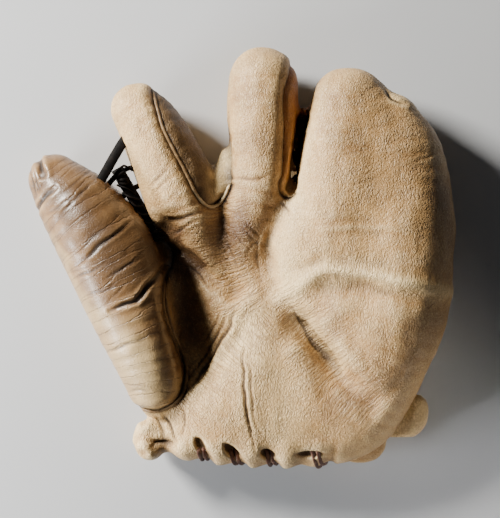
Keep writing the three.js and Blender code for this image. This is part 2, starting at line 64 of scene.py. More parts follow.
# %% The padded lobes
LOBES = {
    "thumb": ((17, 18), [
        (-118.4, 49.9, 22, 17, 17), (-101.1, 29.4, 27, 25.5, 26), (-81.3, 0, 29, 30, 30),
        (-66.5, -33, 28, 29, 29), (-56.3, -64, 25, 23.5, 25), (-53.1, -82, 22, 18, 20)]),
    "index": ((17, 14), [
        (-65.3, 94.7, 26, 17, 18), (-52.5, 74.2, 26, 21.8, 24), (-41, 49.9, 25, 23, 25),
        (-33.3, 27.5, 22, 22, 23), (-22.4, 6, 16, 19, 18)]),
    "middle": ((21.8, 14), [
        (14.7, 112.6, 29, 21.8, 22), (14.1, 88.3, 29, 22.4, 26), (14.1, 62.7, 28, 21.5, 26),
        (10.2, 33.9, 24, 20.5, 24), (3.8, 6, 18, 19, 19)]),
    "ring": ((21.8, 20), [
        (66.8, 97.3, 31, 21.8, 21), (64.6, 69.1, 32, 27, 27), (61.6, 37.1, 32, 28, 28),
        (60.8, 8.3, 30, 28, 27)]),
    "little": ((14, 16), [
        (99.8, 88.3, 33, 14, 14), (103.7, 62.7, 32, 25.6, 24), (105.6, 30.7, 32, 30, 28),
        (104.3, -1.3, 32, 31, 29), (99.2, -33.3, 31, 32.6, 29), (89.6, -65.3, 29, 29.4, 26),
        (73.6, -94.1, 25, 29.4, 21), (64, -110, 22, 18, 17)]),
    "wide stall": ((20, 20), [
        (71, 98, 31, 22, 20), (79, 70, 32, 36, 26), (82, 37, 32, 45, 28), (84, 4, 31, 47, 27),
        (82, -28, 29, 46, 24)]),
    "ring mound": ((16, 18), [(44, 24, 28, 24, 22), (46, 2, 28, 28, 24), (52, -22, 26, 28, 22)]),
    "outer mound": ((18, 14), [(66, -34, 28, 26, 26), (82, -58, 28, 26, 26), (94, -78, 25, 16, 22)]),
    "heel pad": ((16, 9), [
        (16, -52, 20, 22, 21), (12, -74, 22, 34, 23), (8, -96, 23, 44, 22), (6, -112, 22, 50, 18)]),
    "heel pad outer": ((14, 9), [
        (36, -60, 22, 16, 22), (44, -78, 23, 24, 22), (46, -98, 23, 34, 21), (44, -112, 22, 36, 18)]),
    "heel rim": ((8, 8), [
        (-58, -116.5, 22, 8, 12), (-30, -118.5, 23, 9.5, 13), (0, -121, 24, 11, 13),
        (30, -121.5, 24, 10.5, 13), (60, -118, 23, 10, 13), (82, -108, 22, 9, 12)]),
    "heel ear": ((4, 4), [(-59.5, -110.5, 20, 5, 10), (-60, -120.5, 21, 5, 10)]),
    "ring side": ((5, 8), [(35.5, 86, 19, 4, 12), (35, 70, 22, 4.6, 17), (33, 52, 24, 5, 19),
                           (31, 38, 22, 6, 17)]),
    "middle side": ((3, 5), [(-9.5, 66, 20, 2.2, 6), (-11.5, 54, 22, 4.6, 10), (-13, 42, 23, 6.5, 13)]),
    "cuff": ((7, 7), [(48, -115, 11, 9, 11), (74, -119, 11, 9, 8), (92, -106, 12, 9, 11)]),
    "palm centre": ((18, 22), [
        (-16, 14, 17, 22, 17), (-4, -8, 17, 30, 18), (12, -30, 18, 40, 19), (28, -52, 18, 44, 19)]),
    "palm floor": ((20, 20), [
        (-30, 8, 13, 24, 11), (-26, -25, 13, 30, 11), (-26, -60, 13, 32, 13),
        (-24, -92, 14, 30, 16)]),
}
BLEND = 3.5
LOWER_FULLNESS = 1.2
BLEND_REACH = 24


def smooth_rows(rows, steps):
    """A smooth run of rows through the given ones."""
    rows = np.array(rows, float)
    run = np.vstack([2 * rows[0] - rows[1], rows, 2 * rows[-1] - rows[-2]])
    out = []
    for a, b, c, d in zip(run, run[1:], run[2:], run[3:]):
        for t in np.arange(steps) / steps:
            square = 2 * a - 5 * b + 4 * c - d
            cube = 3 * b - a - 3 * c + d
            out.append(0.5 * (2 * b + (c - a) * t + square * t * t + cube * t ** 3))
    return np.array(out + [rows[-1]])


lobes = [(caps, smooth_rows(rows, 4)) for caps, rows in LOBES.values()]
print(len(lobes), "lobes of", sum(len(rows) for _, rows in lobes), "ovals")

# %% [markdown]
# The big folds press the leather in along a path: how wide and how deep each is goes in a table
# too. They belong to the form itself, so the skin flows through them.

# %% The big folds
FOLDS = [
    ("thumb valley", 9, 8, [(-44.8, 16.6), (-41, -2.6), (-38.4, -17.3), (-37.1, -34.6),
                            (-33.3, -51.2), (-28.2, -66.6)]),
    ("index base", 6, 7, [(-39.7, 5.1), (-30.1, -3.8), (-16, -14.1), (-5.1, -20.5)]),
    ("palm line", 8, 2.8, [(-12.2, 21.1), (-10.9, 7), (-6.4, -7.7), (-1.9, -18.6)]),
    ("heel fold", 12, 3.8, [(40, -44), (47, -54), (57, -69), (69.8, -81.3), (80, -90)]),
    ("ring slit", 2.4, 7, [(39, 88.3), (36.2, 69.1), (33.4, 52), (31.2, 44)]),
    ("ring edge", 7, 1.2, [(22.4, 29.4), (15.4, 14.1), (14.7, -1.9), (16.6, -15.4)]),
]
FOLD_START = 22
FOLD_SOFT = 3
folds = [(width, depth, smooth_rows(path, 4)) for _, width, depth, path in FOLDS]

# The whip stitches of the heel lace pull the hem in, one every 21.3 mm
LOOP_START = -46
LOOP_PITCH = 21.3
LOOP_COUNT = 5
HEM_START = -112
HEM_SOFT = 14
HEM_SWELL = 1.3


def path_distance(points, path):
    """How far each point lies from a plan path."""
    nearest = np.full(len(points), 1e9)
    for a, b in zip(path[:-1, :2], path[1:, :2]):
        run = b - a
        away = points[:, :2] - a
        t = np.clip(away @ run / (run @ run), 0, 1)
        nearest = np.minimum(nearest, np.hypot(*(away - t[:, None] * run).T))
    return nearest


def lobe_distance(points, rows, caps):
    """About how far each point lies outside one chain of ovals."""
    nearest = np.full(len(points), 1e9)
    last = len(rows) - 2
    for i, (a, b) in enumerate(zip(rows, rows[1:])):
        length = math.dist(a[:2], b[:2])
        ux, uy = (b[:2] - a[:2]) / length
        dx, dy = points[:, 0] - a[0], points[:, 1] - a[1]
        along = dx * ux + dy * uy
        t = np.clip(along / length, 0, 1)
        over = along - t * length
        side = dy * ux - dx * uy
        middle, width, height = (a[k] + (b[k] - a[k]) * t for k in (2, 3, 4))
        rise = points[:, 2] - middle
        height = np.where(rise < 0, height * LOWER_FULLNESS, height)
        joint = np.minimum(width, height)
        start_cap = caps[0] if i == 0 else joint
        end_cap = caps[1] if i == last else joint
        cap = np.where(over < 0, start_cap, end_cap)
        k0 = np.sqrt((side / width) ** 2 + (over / cap) ** 2 + (rise / height) ** 2)
        k1 = np.sqrt((side / width ** 2) ** 2 + (over / cap ** 2) ** 2 + (rise / height ** 2) ** 2)
        nearest = np.minimum(nearest, k0 * (k0 - 1) / np.maximum(k1, 1e-5))
    return nearest


def padded_form(points):
    """Below zero inside the stuffed glove, zero on its skin."""
    total = np.full(len(points), 1e-12)
    for caps, rows in lobes:
        size = rows[:, 3:].max(1)[:, None] * LOWER_FULLNESS + BLEND_REACH
        low, high = (rows[:, :3] - size).min(0), (rows[:, :3] + size).max(0)
        near = ((points > low) & (points < high)).all(1)
        total[near] += np.exp(-lobe_distance(points[near], rows, caps) / BLEND)
    distance = -BLEND * np.log(total)
    lift = 1 / (1 + np.exp(-(points[:, 2] - FOLD_START) / FOLD_SOFT))
    for width, depth, path in folds:
        distance += depth * lift * np.exp(-(path_distance(points, path) / width) ** 2)
    phase = (points[:, 0] - LOOP_START) / LOOP_PITCH
    hem = np.clip((HEM_START - points[:, 1]) / HEM_SOFT, 0, 1)
    hem = hem * ((phase > -1) & (phase < LOOP_COUNT))
    return distance + HEM_SWELL * hem * np.cos(2 * np.pi * phase)


# %% [markdown]
# A form given as numbers becomes a mesh by filling a grid with its values and asking OpenVDB for
# the surface where they are zero. That mesh is even but a little stepped, so every point is split
# finer and then slid on to the true form along its slope.

# %% From numbers to a skin
FAR_OUTSIDE = 50.0


def steps_of(field, points, reach=0.6):
    """The slope of a field at each point."""
    sides = []
    for k in range(3):
        step = np.zeros(3)
        step[k] = reach
        sides.append((field(points + step) - field(points - step)) / (2 * reach))
    return np.stack(sides, 1)


def split_finer(places, faces):
    """Cuts each triangle into four."""
    pairs = np.sort(np.vstack([faces[:, [0, 1]], faces[:, [1, 2]], faces[:, [2, 0]]]), 1)
    edges, which = np.unique(pairs, axis=0, return_inverse=True)
    middle = len(places) + which.reshape(3, -1).T
    places = np.vstack([places, places[edges].mean(1)])
    a, b, c = faces.T
    ab, bc, ca = middle.T
    faces = np.vstack([np.stack(corner, 1) for corner in
                       ((a, ab, ca), (ab, b, bc), (ca, bc, c), (ab, bc, ca))])
    return places, faces


def edges_of(faces):
    """Each edge of a mesh once, as two point numbers."""
    pairs = np.sort(np.vstack([faces[:, [0, 1]], faces[:, [1, 2]], faces[:, [2, 0]]]), 1)
    return np.unique(pairs, axis=0)


def smoothed(values, edges, rounds, strength=0.5):
    """Lets each point move toward the middle of its neighbours."""
    count = np.bincount(edges.ravel(), minlength=len(values))
    count = np.maximum(count, 1)[:, None]
    for _ in range(rounds):
        total = np.stack([np.bincount(edges[:, 0], values[edges[:, 1], k], len(values))
                          + np.bincount(edges[:, 1], values[edges[:, 0], k], len(values))
                          for k in range(values.shape[1])], 1)
        values = values + strength * (total / count - values)
    return values


def normals_of(places, faces):
    """The outward direction at each point."""
    a, b, c = (places[faces[:, k]] for k in range(3))
    across = np.cross(b - a, c - a)
    total = np.stack([sum(np.bincount(faces[:, k], across[:, axis], len(places))
                          for k in range(3)) for axis in range(3)], 1)
    return total / np.maximum(np.linalg.norm(total, axis=1), 1e-9)[:, None]


def slid_on(places, faces, field, rounds):
    """The points moved on to a field's zero surface, and evened out."""
    edges = edges_of(faces)
    for _ in range(rounds):
        slope = steps_of(field, places)
        move = field(places) / np.maximum((slope ** 2).sum(1), 0.3)
        places = places - np.clip(move, -2, 2)[:, None] * slope
        places = smoothed(places, edges, 2, 0.4)
    return places


def skin_of(field, low, high, cell):
    """The mesh of a field's zero surface."""
    axes = [np.arange(start, end, cell) for start, end in zip(low, high)]
    points = np.stack(np.meshgrid(*axes, indexing="ij"), -1).reshape(-1, 3)
    values = field(points).reshape([len(axis) for axis in axes]).astype(np.float32)
    grid = openvdb.FloatGrid(FAR_OUTSIDE)
    grid.copyFromArray(np.ascontiguousarray(values))
    places, quads = grid.convertToQuads(isovalue=0.0)
    places = places.astype(float) * cell + np.array(low, float)
    quads = quads.astype(np.int64)
    faces = np.vstack([quads[:, [0, 1, 2]], quads[:, [0, 2, 3]]])
    a, b, c = (places[faces[:, k]] for k in range(3))
    if np.einsum("ij,ij->", a, np.cross(b, c)) < 0:
        faces = faces[:, ::-1]
    places, faces = split_finer(slid_on(places, faces, field, 2), faces)
    return slid_on(places, faces, field, 1), faces


# %% [markdown]
# Padding gives way where the glove lies. Its underside is pressed flat, with a soft turn at the
# rim, and at the heel it is pressed further up, because the wrist strap runs below it there.

# %% The skin as it lies
FLOOR_SOFT = 1.2
FLOOR_REACH = 3
STRAP_BED = 3.3
STRAP_BED_START = -74
STRAP_BED_SLOPE = 4


def resting_form(points):
    """The padded form, pressed flat where it lies on the floor and over the strap."""
    bed = STRAP_BED * np.clip((STRAP_BED_START - points[:, 1]) / STRAP_BED_SLOPE, 0, 1)
    under = bed - points[:, 2]
    body = padded_form(points)
    most = np.maximum(body, under)
    least = np.minimum(body, under)
    turn = np.log1p(np.exp(-(most - least) / FLOOR_SOFT)) * np.exp(-(most / FLOOR_REACH) ** 2)
    return most + FLOOR_SOFT * turn


CELL = 2.2
SKIN_LOW = (-146, -146, -5)
SKIN_HIGH = (148, 146, 72)
skin, skin_faces = skin_of(resting_form, SKIN_LOW, SKIN_HIGH, CELL)
print("skin", len(skin), "points, from", skin.min(0).round(1), "to", skin.max(0).round(1))

# %% [markdown]
# Old leather is full of lines: short pinches where a joint bent, long ones round the thick heel
# pad, and low ridges where the stuffing pushes up. Each row below is one: how deep it is (below
# zero for a ridge), half its width and its path in plan. A pressed line throws up a lip on both
# sides, so the profile is a valley between two small rises.

# %% The creases and ridges
CREASES = [
    ("thumb tip pocket", 2.6, 2.0, [(-130, 65), (-127, 60), (-124, 52)]),
    ("thumb tip fold", 1.5, 1.3, [(-116, 44), (-123, 38), (-130, 29)]),
    ("thumb tip pucker", 0.8, 1.0, [(-134, 56), (-131, 49), (-129, 38)]),
    ("thumb tip second pucker", 0.6, 0.9, [(-131, 59), (-128, 50), (-126, 42)]),
    ("thumb first cross", 0.5, 0.9, [(-122, 27), (-111, 33), (-99, 41)]),
    ("thumb second cross", 0.45, 0.9, [(-114, 23), (-102, 37), (-89, 52)]),
    ("thumb third cross", 0.35, 0.9, [(-111, 40), (-102, 49), (-92, 58)]),
    ("thumb joint", 0.9, 1.1, [(-101, -4), (-91, 4), (-81, 12), (-68, 22)]),
    ("thumb joint twin", 0.45, 0.9, [(-102, 4), (-91, 12), (-82, 19)]),
    ("thumb side line", 0.5, 0.9, [(-104, -13), (-93, -8), (-82, -3)]),
    ("thumb lower line", 0.55, 0.9, [(-84, -14), (-72, -6), (-60, 1)]),
    ("thumb lower twin", 0.35, 0.9, [(-96, -24), (-83, -20), (-72, -14)]),
    ("thumb base overhang", 2.0, 1.4, [(-81, -33), (-72, -29), (-63, -25), (-55, -15), (-47, -4)]),
    ("thumb pad line", 0.35, 1.0, [(-81, -58), (-69, -54), (-58, -50)]),
    ("thumb heel line", 0.3, 1.0, [(-72, -85), (-64, -83), (-56, -84)]),
    ("waist", 1.6, 2.0, [(-72, -92), (-68, -97), (-62, -104)]),
    ("index pinch", 0.5, 0.9, [(-56, 46), (-50, 51), (-44, 58)]),
    ("index second pinch", 0.4, 0.9, [(-54, 42), (-46, 48), (-41, 52)]),
    ("index third pinch", 0.35, 0.9, [(-47, 35), (-41, 40), (-36, 44)]),
    ("index base", 0.6, 1.3, [(-54, 27), (-42, 24), (-31, 27), (-22, 31)]),
    ("index base twin", 0.5, 1.0, [(-44, 14), (-35, 20), (-26, 24)]),
    ("hollow upper edge", 1.5, 3.0, [(-45, 6), (-35, 3), (-26, -4), (-15, -15)]),
    ("hollow upper line", 0.5, 0.9, [(-41, -3), (-32, -6), (-23, -14), (-17, -22)]),
    ("middle base", 0.5, 5.0, [(-12, 23), (-11, 7), (-6, -8), (-1, -19)]),
    ("middle base line", 0.3, 0.8, [(-8, 17), (-6, 4), (0, -9)]),
    ("middle cross", 0.4, 0.9, [(-3, 23), (4, 17), (12, 8)]),
    ("middle second cross", 0.4, 0.9, [(1, 26), (8, 19), (14, 12)]),
    ("middle third cross", 0.35, 0.9, [(-6, 20), (0, 12), (8, 3)]),
    ("middle fourth cross", 0.3, 0.9, [(3, -3), (6, 5), (13, 12)]),
    ("middle waist", 0.35, 1.4, [(-8, 51), (6, 49), (23, 52)]),
    ("wide stall line", 0.2, 0.8, [(63, 44), (77, 47), (92, 52)]),
    ("wide stall edge line", 0.3, 0.8, [(104, 58), (115, 62), (124, 67)]),
    ("wide stall upper line", 0.15, 0.8, [(58, 63), (72, 65), (82, 69)]),
    ("knuckle ridge", -0.4, 2.0, [(50, 17), (77, 19), (104, 17)]),
    ("mound ridge", -2.3, 4.4, [(28, -26), (41, -15), (55, -8), (75, -9), (95, -13), (114, -18), (131, -22)]),
    ("below the ridge", 1.2, 5.0, [(52, -19), (70, -19), (90, -22), (110, -26), (132, -31)]),
    ("heel fold", 0.5, 0.9, [(31, -29), (35, -35), (41, -45), (49, -56), (56, -65)]),
    ("heel fold twin", 0.15, 0.8, [(35, -31), (40, -40), (46, -50)]),
    ("heel fold valley", 1.6, 4.6, [(33, -31), (41, -46), (52, -60), (64, -74), (74, -86), (81, -93)]),
    ("heel fold crest", -2.0, 5.0, [(40, -29), (50, -40), (61, -53), (73, -66), (87, -77)]),
    ("heel pad crest", -1.1, 2.4, [(3, -33), (-4, -45), (-11, -56), (-20, -74), (-31, -87)]),
    ("heel pad line", 0.8, 1.0, [(0, -29), (-7, -44), (-15, -56), (-24, -72), (-35, -86)]),
    ("heel pad outer line", 0.5, 0.9, [(-5, -31), (-12, -44), (-20, -57), (-29, -72), (-38, -82)]),
    ("heel pad far line", 0.35, 0.9, [(-12, -35), (-18, -46), (-25, -58)]),
    ("ring mound edge", -0.7, 2.8, [(23, 27), (15, 14), (15, -2), (18, -15), (24, -26)]),
    ("ring mound line", 0.2, 0.9, [(19, 27), (12, 13), (12, -3), (14, -15)]),
    ("heel pad crease", 0.9, 0.9, [(3, -52), (2, -67), (3, -81), (5, -99), (9, -122)]),
    ("heel pad crease twin", 0.4, 0.9, [(6, -60), (6, -78), (8, -94), (11, -107)]),
    ("heel left line", 0.4, 0.9, [(-36, -92), (-35, -104), (-37, -115)]),
    ("heel corner line", 0.7, 1.0, [(-49, -99), (-45, -106), (-40, -116)]),
    ("heel corner second line", 0.5, 0.9, [(-54, -100), (-50, -109), (-47, -116)]),
    ("gusset base", 0.4, 1.1, [(-20, 33), (-10, 35), (-3, 31)]),
    ("ring base", 0.3, 1.2, [(25, 35), (29, 32), (32, 27)]),
    ("little stall notch", 1.0, 1.2, [(90, 108), (94, 102), (99, 99), (105, 96)]),
]
LIP = 0.3
LIP_PLACE = 2
END_SHARE = 0.3
END_DEPTH = 0.25


def crease_depth(points, depth, width, path):
    """How far one crease presses each point in, and how near its middle the point is."""
    path = smooth_rows(path, 5)
    near = path_distance(points, path) / width
    start, end = path[0, :2], path[-1, :2]
    span = math.dist(start, end)
    from_end = np.minimum(np.hypot(*(points[:, :2] - start).T), np.hypot(*(points[:, :2] - end).T))
    fade = END_DEPTH + (1 - END_DEPTH) * np.clip(from_end / (END_SHARE * span), 0, 1)
    valley = np.exp(-near ** 2)
    return depth * fade * (valley - LIP * np.exp(-(near - LIP_PLACE) ** 2)), fade * valley


print(len(CREASES), "creases and ridges")

# %% [markdown]
# Leather is never even, so most shapes below get a little noise. Blender has noise textures for
# that, but here the mesh is still plain numbers. So we mix random values from the corners of a grid
# of cubes, scrambled from their place alone, and the same place gets the same value on each run.

# %% Noise that is the same on each run
AXIS_KEYS = (73856093, 19349663, 83492791)
SEED_KEY = 2654435761
FIRST_MIX = 2246822519
SECOND_MIX = 3266489917
LOW_BITS = 2 ** 32 - 1
HALF_RANGE = 2 ** 31


def noise(points, size, seed):
    """Soft random values from -1 to 1, about size apart."""
    cell = points / size
    base = np.floor(cell).astype(np.int64)
    part = cell - base
    part = part * part * (3 - 2 * part)
    total = np.zeros(len(points))
    for corner in product((0, 1), repeat=3):
        x, y, z = ((base + corner) * AXIS_KEYS).T
        key = x ^ y ^ z ^ (seed * SEED_KEY)
        key = ((key & LOW_BITS) * FIRST_MIX) & LOW_BITS
        key = ((key ^ (key >> 13)) * SECOND_MIX) & LOW_BITS
        value = (key ^ (key >> 16)) / HALF_RANGE - 1
        weight = np.prod(np.where(np.array(corner), part, 1 - part), axis=1)
        total += weight * value
    return total


print("noise at the glove's middle", noise(np.zeros((1, 3)), 9, 5).round(3))

# %% [markdown]
# The front is sewn from four leathers. A seam is a plan path here, and each leather keeps the side
# of it that it lies on. Near a seam the thread pulls the leather down, more at each stitch, which
# gives the small puckers along the piping.

# %% The seams
THUMB_SEAM = [
    (-42.9, 3.2), (-45.4, -10.2), (-46.7, -25), (-44.2, -39.7), (-40.3, -51.8), (-35.8, -64),
    (-33.9, -73.6), (-35.8, -84.5), (-41, -92.2), (-51.2, -97.3), (-60.8, -96.6), (-69.8, -94.1)]
INDEX_SEAM = [
    (-55.5, 106.5), (-51.2, 91.5), (-47.4, 80), (-41, 67.2), (-35.8, 57.6), (-31.4, 48.6),
    (-27.5, 40.3), (-23, 34.6), (-18.8, 32.4), (-13.8, 33.9), (-9.6, 39), (-6.4, 46.4)]
MIDDLE_LEFT_SEAM = [(-6.6, 50), (-7, 58), (-7.4, 68), (-8.1, 84), (-9.6, 100), (-14, 124)]
MIDDLE_RIGHT_SEAM = [
    (33.9, 124), (31.4, 112.6), (28.8, 105), (28.2, 96.6), (28.8, 82.6), (28.2, 67.8),
    (27.5, 53.8), (25.4, 46), (26.4, 40.4), (30, 38.4), (33.4, 41)]
RING_LEFT_SEAM = [
    (33.6, 44), (34.4, 56), (36, 68), (38.6, 80), (41.6, 92), (44, 103), (49, 118), (56, 128)]
SEAM_HEIGHT = 19

# Corners that close the outlines, away from the seams
THUMB_TOP = [(-100, 76), (-83, 61), (-71, 43), (-61, 27), (-50, 12)]
THUMB_CORNERS = [(-110, -92), (-180, -92), (-180, 76)]
INDEX_CORNERS = ([(-62, 130)], [(0, 150)])
RING_CORNERS = ([(38, 150)], [(60, 150)])
SMOOTH_FROM = 5


def rounded(path):
    """A plan path, smoothed."""
    return smooth_rows(path, 4)[:, :2]


def outline_of(*parts):
    """A closed outline from smooth seams and a few plain corners."""
    return np.vstack([rounded(part) if len(part) >= SMOOTH_FROM else np.array(part, float)
                      for part in parts])


thumb_outline = outline_of(THUMB_TOP + THUMB_SEAM, THUMB_CORNERS)
index_outline = outline_of(INDEX_CORNERS[0], INDEX_SEAM, MIDDLE_LEFT_SEAM, INDEX_CORNERS[1])
ring_outline = outline_of(RING_CORNERS[0], MIDDLE_RIGHT_SEAM, RING_LEFT_SEAM, RING_CORNERS[1])


def inside_depth(points, outline):
    """How deep each point lies inside a closed plan outline, below zero outside."""
    closed = np.vstack([outline, outline[:1]])
    x, y = points[:, 0], points[:, 1]
    odd = np.zeros(len(points), bool)
    for (ax, ay), (bx, by) in zip(closed[:-1], closed[1:]):
        if ay != by:
            odd ^= ((ay > y) != (by > y)) & (x < ax + (y - ay) * (bx - ax) / (by - ay))
    return np.where(odd, 1, -1) * path_distance(points, closed)


thumb_depth = inside_depth(skin, thumb_outline)
print("points of the thumb's leather", int((thumb_depth > 0).sum()))

# %% [markdown]
# Now the skin gets its life. All that follows moves points along their normals, and press adds up
# how far in each one goes. The creases come first. Their paths wander a little, since no real crease
# is a drawn curve, and they are pressed into the front only. The narrow ones also get a line of
# painted shade.

# %% Press the creases in
FRONT_START = 16
FRONT_FADE = 6
WIDEST_LINE = 2.5
SHARP_WIDTH = 1.5

out = normals_of(skin, skin_faces)
edges = edges_of(skin_faces)
facing_up = np.clip((out[:, 2] + 0.25) / 0.5, 0, 1)
front = np.clip((skin[:, 2] - FRONT_START) / FRONT_FADE, 0, 1) * facing_up


def sideways(size, seeds):
    """Noise that moves the skin's points in plan only."""
    return np.stack([noise(skin, size, seed) for seed in seeds] + [np.zeros(len(skin))], 1)


wander = sideways(9, (5, 6))
wandered = skin + 1.0 * wander + 0.35 * sideways(3.5, (7, 8))
press = np.zeros(len(skin))
line = np.zeros(len(skin))
for _, depth, width, path in CREASES:
    amount, near = crease_depth(wandered, depth, width, path)
    press += front * amount
    if depth > 0 and width < WIDEST_LINE:
        sharp = near ** 2 if width < SHARP_WIDTH else near
        line = np.maximum(line, front * sharp * min(1, 0.45 + 0.5 * depth))
print("deepest crease", round(press.max(), 2), "mm")

# %% [markdown]
# A seam shows in leather by what its thread does. It pulls a groove, puckers the leather beside it
# at each stitch, and leaves the next few millimetres standing proud. The long seam round the side,
# where front and back meet, is the same groove at one height.

# %% Pull the seams in
SEAM_PITCH = 4.2
GROOVE = {"depth": 1.5, "reach": 1.9}
PUCKER = {"depth": 0.7, "place": 3, "reach": 3}
PROUD = {"height": 0.5, "place": 6, "reach": 4}
SIDE_GROOVE = {"depth": 1.0, "reach": 1.7}
FINGER_SEAM_END = 76
FINGER_SEAM_FADE = 26

front_seams = [thumb_outline[:-len(THUMB_CORNERS)], rounded(INDEX_SEAM), rounded(MIDDLE_LEFT_SEAM),
               rounded(MIDDLE_RIGHT_SEAM), rounded(RING_LEFT_SEAM)]
seam_near = np.min([path_distance(skin, path) for path in front_seams], axis=0)
# Left of the middle finger the seam dies out toward the tip
dying = np.clip((skin[:, 1] - FINGER_SEAM_END) / FINGER_SEAM_FADE, 0, 1)
seam_near += 6 * dying * (np.abs(skin[:, 0] + 9) < 9)
above_side = np.clip((skin[:, 2] - SEAM_HEIGHT + 2) / 4, 0, 1)
side_near = np.abs(skin[:, 2] - SEAM_HEIGHT)
pucker = 0.5 + 0.5 * noise(skin, SEAM_PITCH, 11)
press += above_side * (
    GROOVE["depth"] * np.exp(-(seam_near / GROOVE["reach"]) ** 2)
    + PUCKER["depth"] * pucker * np.exp(-((seam_near - PUCKER["place"]) / PUCKER["reach"]) ** 2)
    - PROUD["height"] * np.exp(-((seam_near - PROUD["place"]) / PROUD["reach"]) ** 2))
press += (SIDE_GROOVE["depth"] + 0.5 * pucker) * np.exp(-(side_near / SIDE_GROOVE["reach"]) ** 2)
# Painted shade along the seams' grooves, kept for the finish
seam_shade = np.maximum(above_side * np.exp(-(seam_near / 2.1) ** 2),
                        np.exp(-(side_near / 1.6) ** 2))
print("points in a seam's shade", int((seam_shade > 0.5).sum()))

# %% [markdown]
# At the heel a thong is whipped over the hem. Each pass pulls a notch into the edge and comes out of
# a stretched hole above it. No two passes are alike, so a table says how each one differs: how far
# right and up the hole sits from its even place, how wide and tall it is, and its slant.

# %% The lace's holes and the notches of the hem
HOLES = [(0, 0, 1, 1, 0.4), (0.6, 2, 1.05, 1.1, 0.3), (-0.8, -1, 1.2, 1.2, 0.55),
         (0.8, -3.4, 1.25, 0.85, 0.4), (8.5, -3.6, 2.8, 0.5, 0.7)]
HOLE_RISE = 6
HOLE_DEPTH = 3.6
HOLE_REACH = 2.8
NOTCH_DEPTH = 2.0
NOTCH_REACH = 2.7
loop_x = LOOP_START + LOOP_PITCH * np.arange(LOOP_COUNT)


def hem_bow(x):
    """The hem's edge in plan: its y at each x."""
    return -127.5 + 4 * ((x - 12) / 60) ** 2


hole = np.zeros(len(skin))
notch = np.zeros(len(skin))
# The first pass hides in the hollow beside the ear, so it has no notch and no hole
for k, (x, (right, up, wide, tall, slant)) in enumerate(zip(loop_x, HOLES)):
    edge_y = hem_bow(x)
    hole_y = edge_y + HOLE_RISE + up
    aside = (skin[:, 0] - x - right - slant * (hole_y - skin[:, 1])) / wide
    laced = 0 if k == 0 else 1 + 0.18 * math.cos(2.3 * k)
    lower = np.clip((edge_y + 9 - skin[:, 1]) / 6, 0, 1) * np.clip((skin[:, 2] - 14) / 6, 0, 1)
    notch += laced * lower * np.exp(-((aside - 0.8) / NOTCH_REACH) ** 2)
    spot = np.hypot(aside + 1.2, (skin[:, 1] - hole_y) / 1.5 / tall)
    hole = np.maximum(hole, laced * front * np.exp(-(spot / HOLE_REACH) ** 4))
hem = np.clip((HEM_START - skin[:, 1]) / HEM_SOFT, 0, 1)
hem *= (skin[:, 0] > LOOP_START - LOOP_PITCH) & (skin[:, 0] < loop_x[-1] + LOOP_PITCH)
plump = hem * (0.4 + 1.3 * noise(skin, 11, 12)) * (1 - np.minimum(notch, 1))
press += NOTCH_DEPTH * notch + HOLE_DEPTH * hole - plump
# The holes' dark insides are painted shade, noted with the creases' lines
line = np.maximum(line, hole)
print("deepest hole", round(HOLE_DEPTH * hole.max(), 2), "mm")

# %% [markdown]
# The outer corner of the heel is drawn out into an ear. It has a dark hollow beside it, where the
# lace starts, and its top is flattened and crumpled, so it doesn't look like a ball.

# %% The ear of the heel
EAR_HOLLOW = (-48.6, -118)
EAR_TOP = (-60, -119)
EAR_HEIGHT = 27

hollow_near = np.hypot(skin[:, 0] - EAR_HOLLOW[0], (skin[:, 1] - EAR_HOLLOW[1]) * 1.2)
press += front * 6.5 * np.exp(-(hollow_near / 7) ** 2)
# Painted shade in the hollow beside the ear
line = np.maximum(line, front * 0.9 * np.exp(-(hollow_near / 5.5) ** 2))
top_near = np.hypot(skin[:, 0] - EAR_TOP[0], skin[:, 1] - EAR_TOP[1])
flatten = 0.35 * np.maximum(skin[:, 2] - EAR_HEIGHT, 0) + 2.2 * noise(skin, 8, 13)
press += flatten * np.exp(-(top_near / 10) ** 4)
print("pressed in up to", round(press.max(), 2), "mm")
